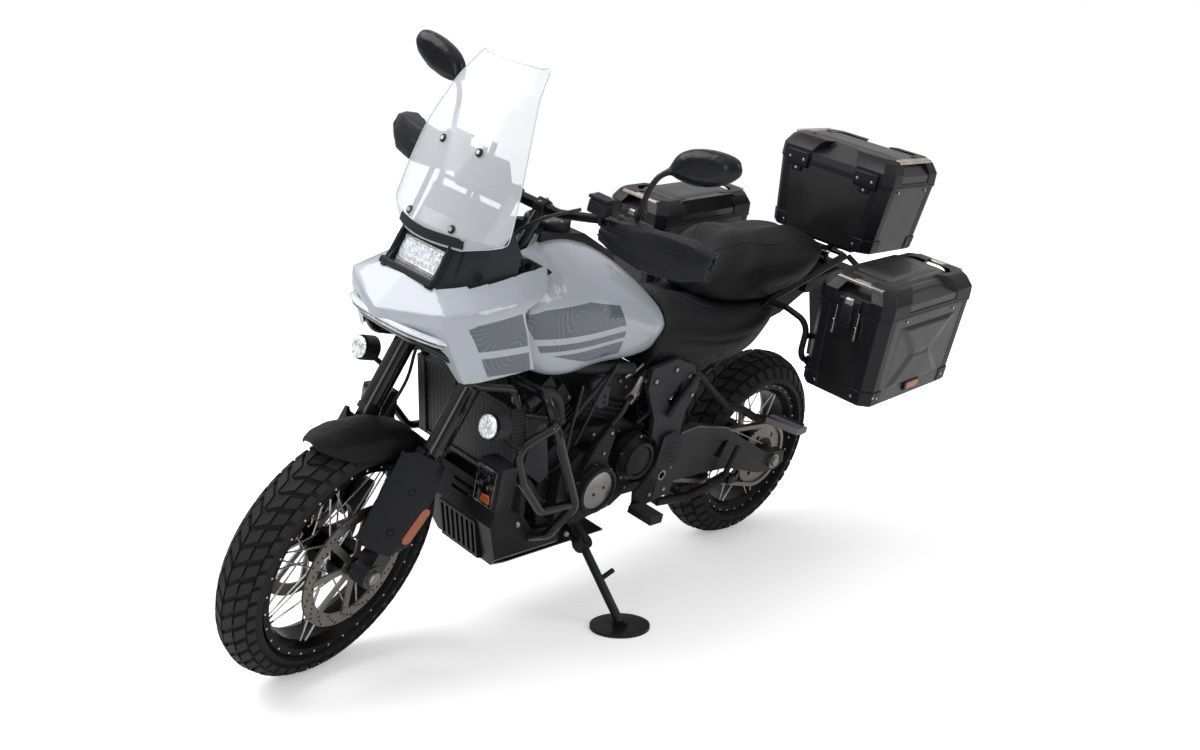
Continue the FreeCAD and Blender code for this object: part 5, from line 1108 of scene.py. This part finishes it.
for side, word in SIDES:
    carrier = [(on_screen(z, 66) - 11, side * y, z)
               for z, y in ((1112, 76), (1180, 72), (1250, 67), (1308, 62))]
    pipe("screen_carrier_" + word, carrier, 7.5, guard_plastic, flat=0.6, smooth=False)
    for k, (share, rise) in enumerate(((0.5, 0.5), (0.05, -0.45))):
        seam = [(x - 9 + 6 * share, side * y, (top + low) / 2 + rise * ((top - 4) - (top + low) / 2))
                for x, y, top, low in guard_line]
        pipe("hand_guard_seam_%s_%d" % (word, k), seam, 1.8, drill_black, "steering", sides=6, steps=8)


def on_dial(points):
    """Instrument coordinates to upright: turned 20 degrees about Y and set behind the screen."""
    return tilted(points, math.radians(20), 1304, 1232)


skin("instrument_glass", [[(x, -84, -44), (x, 84, -44), (x, 84, 44), (x, -84, 44)] for x in (-9, -12)],
     glass_black, bevel=1.5, place=on_dial)

# Front end fittings. Anodised switch blocks, reservoirs and clamps on the bar, rubber brake hoses from
# the calipers up to it inside the fork, and the fork guards' reflectors.
hose_rubber = coated("woven brake hose rubber", "#0F0F10", 0.45, 0.8, 0.5, gleam=0.4)
CASTER = (math.cos(RAKE), math.sin(RAKE))
MIRROR_TILT = math.radians(14)
MIRROR_OVAL = ((-78, -4), (-56, 24), (-10, 36), (42, 34), (74, 18), (78, -2), (58, -22), (8, -36), (-44, -33))
for side, word in SIDES:
    hand = np.array([1, side, 1])
    skin("switch_block_" + word,
         [section(side * 262, (1128, 1178), (1150, 1186), (1148, 1222),
                  (1118, 1226), (1098, 1206), (1104, 1182)),
          section(side * 306, (1122, 1174), (1146, 1182), (1142, 1220),
                  (1114, 1224), (1092, 1204), (1098, 1180))],
         black_nylon, "steering", bevel=4)
    studs("switch_buttons_" + word,
          np.array([(1098, 274, 1204), (1096, 292, 1206), (1096, 283, 1192)]) * hand,
          (-1, 0, 0.3), 5.0, 4.0, slate_plastic, "steering", 10)
    for made, x, corners, heights, material, bevel in (
        ("reservoir_", 1196, ((0, 190), (0, 238), (40, 240), (40, 188)), (1218, 1252),
         black_nylon, 6),
        ("reservoir_lid_", 1198, ((0, 188), (0, 240), (44, 242), (44, 186)), (1252, 1260),
         guard_plastic, 2.5),
    ):
        skin(made + word, [[(x - i, side * y, z) for i, y in corners] for z in heights], material, "steering",
             bevel=bevel)
    studs("reservoir_screws_" + word, np.array([(1188, 196, 1260), (1164, 232, 1260)]) * hand, (0, 0, 1),
          3.4, 1.6, plated_steel, "steering", 8)
    skin("reservoir_arm_" + word,
         np.array([[(1150, 216, 1186), (1168, 216, 1190), (1168, 226, 1190), (1150, 226, 1186)],
                   [(1164, 208, 1222), (1180, 208, 1222), (1180, 220, 1222), (1164, 220, 1222)]]) * hand,
         black_nylon, "steering", bevel=2)
    skin("bar_clamp_" + word,
         swept(side * 28, side * 58, (1124, 1148), (1162, 1148), (1164, 1176), (1144, 1188), (1122, 1178)),
         black_nylon, "steering", bevel=3)
    studs("bar_clamp_bolts_" + word, np.array([(1130, 43, 1183), (1157, 43, 1179)]) * hand, (0, 0, 1),
          4.5, 3.5, plated_steel, "steering", 8)
    hose = on_fork([(-70, 88, 174), (-66, 84, 230), (-52, 80, 330), (-46, 74, 430), (-6, 66, 505),
                    (38, 52, 590), (38, 50, 790)])
    hose = np.concatenate([hose, [(1240, 54, 1112), (1222, 104, 1168), (1192, 176, 1216)]]) * hand
    pipe("brake_hose_" + word, hose, 4.2, hose_rubber, "steering")
    spine = np.array([(-4 - 24 * t, 156.5, 104 + 94 * t) for t in (0.0, 0.10, 0.90, 1.0)])
    wide = np.array([0.5, 1.0, 1.0, 0.5])[:, None] * [10.5, -5.0, 0]
    outward = np.array([0.43 * CASTER[0], 0.90 * side, 0.43 * CASTER[1]])
    for made, swell, shift, sunk, thick, material, bevel in (
        ("fork_reflector_", 1.0, (0, 0, 0), 0.0, 4.0, amber, 1.2),
        ("fork_reflector_base_", 1.25, (3, 0, -5), 7.0, 8.0, guard_plastic, 2.0),
    ):
        around = np.concatenate([spine - wide * swell, (spine + wide * swell)[::-1]]) + shift
        slab(made + word, on_fork(around * hand) - sunk * outward, thick * outward, material, "steering",
             bevel)
    facet = (0.581 * CASTER[0], side * 0.814, 0.581 * CASTER[1])
    recess = on_fork(section(side * 137, (39, 222), (39, 118)))
    studs("fork_guard_recesses_" + word, recess, facet, 12.0, 0.9, drill_black, "steering", 20)
    studs("fork_guard_bolts_" + word, recess, facet, 5.0, 1.8, cast_black, "steering", 6)
    studs("caliper_pistons_" + word, on_fork(section(side * 100.5, (-74, 92), (-74, 144))), (0, side, 0),
          19.0, 5.0, cast_black, "steering", 24)
    studs("caliper_bolts_" + word,
          on_fork(section(side * 101, (-62, 68), (-62, 118), (-62, 168), (-92, 118))),
          (0, side, 0), 4.5, 3.5, plated_steel, "steering", 6)
    studs("front_axle_nut_" + word, [(WHEELBASE, side * 132, FRONT_R)], (0, side, 0), 18.0, 8.0, plated_steel,
          "steering", 6)
    skin("mirror_glass_" + word,
         [[(1075.5 - back, side * (392 + k * (y * math.cos(MIRROR_TILT) - z * math.sin(MIRROR_TILT))),
            1388 + k * (y * math.sin(MIRROR_TILT) + z * math.cos(MIRROR_TILT))) for y, z in MIRROR_OVAL]
          for back, k in ((0, 1.0), (2.5, 0.985))], mirror_glass, "steering")

# Engine dressing. Covers with bolted rims, the alternator's bare disc and its arm, hoses, throttle bodies
# and brackets between the cylinders, and the grey shroud beside the radiator.
disc_silver = bare_metal("turned aluminium cap", "#A9A9AA", 0.30)
for name, side, x, z, y, radius, count in (
    ("alternator", 1, 889, 423, 172, 71, 6), ("sprocket_cover", 1, 714, 467, 152, 66, 5),
    ("clutch_cover", -1, 820, 420, -170, 87, 8),
):
    studs(name + "_bolts", bolt_circle(x, y, z, radius, count, 0.4), (0, side, 0), 4.4, 6.0, plated_steel,
          sides=6)
ACROSS = ((1, 0, 0), (0, 0, 1), (0, 1, 0))
for name, centre, profile, material in (
    ("alternator_rim", (889, 191, 423), ((66, 0), (66, 6), (62, 8), (57, 8), (55, 4), (55, 0)), cast_black),
    ("alternator_cap", (889, 191, 423), ((0.5, 5.2), (30, 5.0), (50, 4.2), (54, 2.6), (54, 0), (0.5, 0)),
     disc_silver),
    ("sprocket_cover_ring", (714, 171, 467), ((54, 0), (54, 6), (50, 8), (44, 8), (42, 4), (42, 0)),
     cast_black),
    ("sprocket_cover_dome", (714, 171, 467), ((0.5, 7.0), (26, 6.4), (40, 3.6), (42, 0), (0.5, 0)),
     cast_black),
):
    lathed(name, centre, profile, ACROSS, material)
slab("alternator_arm", section(150, (852, 470), (836, 560), (846, 592), (866, 592), (900, 556), (940, 470)),
     (0, 22, 0), cast_black, bevel=4)
slab("ignition_bracket", section(120, (850, 640), (860, 712), (900, 726), (928, 716), (924, 668), (884, 632)),
     (0, 16, 0), slate_plastic, bevel=3)
slab("sprocket_guard", section(152, (566, 482), (640, 520), (676, 560), (660, 600), (600, 560), (548, 500)),
     (0, 5, 0), cast_black, bevel=2)
for name, at, way, radius, height, material, sides in (
    ("alternator_cap_screws", section(196, (872, 430), (906, 416)), (0, 1, 0), 4.6, 1.8, drill_black, 12),
    ("alternator_arm_bolts", section(172, (856, 576), (872, 520)), (0, 1, 0), 5.0, 3.5, plated_steel, 6),
    ("ignition_bracket_holes", section(136, (866, 700), (872, 668), (868, 650)), (0, 1, 0), 6.0, 0.8,
     drill_black, 14),
    ("throttle_clamps", [(704, 128, 686), (722, 126, 650), (690, 130, 716)], (0, 1, 0.2), 7.0, 5.0,
     plated_steel, 8),
    ("rear_axle_nut_left", [(0, 162, REAR_R)], (0, 1, 0), 17.0, 9.0, plated_steel, 6),
    ("rear_axle_nut_right", [(0, -162, REAR_R)], (0, -1, 0), 17.0, 9.0, plated_steel, 6),
    ("skid_plate_bolts", [(1178, 96, 404), (1178, -96, 404), (1100, 128, 340), (900, 128, 262),
                          (1100, -128, 340), (900, -128, 262)], (0.2, 0.1, 0), 8.0, 3.0, plated_steel, 12),
    ("rack_bolts", [(-200, 100, 1013), (-200, -100, 1013), (-400, 100, 1016), (-400, -100, 1016)], (0, 0, 1),
     7, 4, plated_steel, 6),
):
    studs(name, at, way, radius, height, material, sides=sides)
for name, points, radius, material, sides in (
    ("throttle_body_front", [(742, 104, 622), (716, 108, 654), (700, 110, 690)], 20, disc_silver, 20),
    ("throttle_body_neck", [(700, 110, 690), (686, 110, 720), (676, 108, 744)], 24, hose_rubber, 20),
    ("fuel_rail", [(780, 112, 700), (740, 116, 716), (700, 120, 752)], 6, disc_silver, 12),
):
    pipe(name, points, radius, material, sides=sides)
for k, (points, radius) in enumerate((
    ([(1178, 150, 700), (1120, 152, 724), (1060, 140, 690), (1020, 128, 620)], 16),
    ([(1172, 150, 520), (1120, 150, 470), (1080, 136, 430), (1040, 120, 400)], 16),
    ([(1000, 118, 560), (960, 132, 640), (910, 138, 700), (850, 134, 744)], 7),
    ([(940, 126, 540), (925, 140, 620), (905, 146, 690), (850, 140, 760)], 5),
    ([(1010, 120, 470), (1000, 150, 520), (990, 146, 600), (960, 130, 700)], 5),
    ([(830, 130, 560), (800, 142, 610), (770, 134, 640), (742, 120, 640)], 8),
    ([(700, 126, 560), (668, 140, 600), (660, 136, 650), (690, 128, 700)], 6),
)):
    pipe("engine_hose_%d" % k, points, radius, hose_rubber, sides=14)
pipe("swingarm_edge", section(150.6, (80, 392), (300, 486), (440, 513), (520, 506)), 2.0, disc_silver,
     sides=6, smooth=False)
skin("lower_radiator_mount", swept(-166, 166, (1120, 384), (1138, 392), (1158, 522), (1140, 526)),
     black_nylon, bevel=4)
SHROUD = ((1200, 552), (1178, 668), (1146, 668), (1104, 520), (1130, 500))
CRANKCASE_BOLTS = ((1000, 380), (1006, 450), (980, 520), (860, 548), (760, 540), (680, 350), (740, 305))
PLATE_BOLTS = ((718, 704), (640, 728), (575, 700), (545, 640), (566, 420), (574, 350))
for side, word in SIDES:
    out = (0, side, 0)
    slab("radiator_shroud_" + word, section(side * 196, *SHROUD), (0, side * 6, 0), slate_plastic, bevel=3)
    for name, at, radius, height, material, sides in (
        ("head_bolts_", section(side * 106, (930, 690), (980, 672), (1010, 640), (790, 690), (760, 668)),
         6.0, 5.0, plated_steel, 6),
        ("crankcase_bolts_", section(side * 112, *CRANKCASE_BOLTS), 5.5, 5.0, plated_steel, 6),
        ("plate_bolts_", section(side * 172, *PLATE_BOLTS) + [(646, side * 180.4, 352)], 7.0, 4.0,
         plated_steel, 6),
        ("plate_bolt_washers_", section(side * 172, *PLATE_BOLTS[:3]), 11.0, 1.6, cast_black, 20),
        ("heel_plate_holes_",
         [(x, side * 183.8, z) for x in (580, 592, 604, 616) for z in (446, 460, 474, 488, 502)],
         3.6, 0.5, drill_black, 8),
    ):
        studs(name + word, at, out, radius, height, material, sides=sides)
    skin("peg_rubber_" + word, swept(side * 196, side * 276, (688, 341), (740, 341), (740, 347), (688, 347)),
         coated("peg rubber " + word, "#2A2A2B", 0.6, 5.0, 0.8, worn="#4A4A4A"), bevel=2)
    skin("passenger_peg_rubber_" + word,
         [[(196 + 26 * i - 0.30 * back, side * y, 531 + 13 * j)
           for i, j in ((-1, -0.7), (0, -1), (1, -0.7), (1, 0.7), (0, 1), (-1, 0.7))]
          for back, y in ((0, 226), (30, 276), (70, 330))],
         coated("passenger peg rubber " + word, "#6E6E70", 0.55, 5.0, 0.6, worn="#8A8A8A"), bevel=2)

# Tank top. The filler cap has an outer ring with eight screws round a hinged lid.
CAP = (1066, 0, 1118)
LEANING_BACK = ((1, 0, -0.1), (0, 1, 0), (0.1, 0, 1))
lathed("filler_ring", CAP, ((57, -2), (57, 3), (53, 6), (46, 6), (44, 1), (44, -2)), LEANING_BACK,
       black_nylon)
lathed("filler_lid", CAP, ((0.5, 5), (20, 4.6), (36, 3.4), (41, 0), (41, -2), (0.5, -2)), LEANING_BACK,
       gloss_powder)
a = circle(8)
studs("filler_screws", np.stack([CAP[0] + 50 * np.cos(a), 50 * np.sin(a), CAP[2] + 5 - 5 * np.cos(a)], -1),
      (0.1, 0, 1), 3.6, 2.0, plated_steel, sides=6)

# Rear rack. A bright edge on the plate between the passenger seat and the top case.
slab("rack_edge_front", [(-58, 122, 1000), (-58, -122, 1000), (-66, -122, 1000), (-66, 122, 1000)], (0, 0, 5),
     disc_silver, bevel=1)
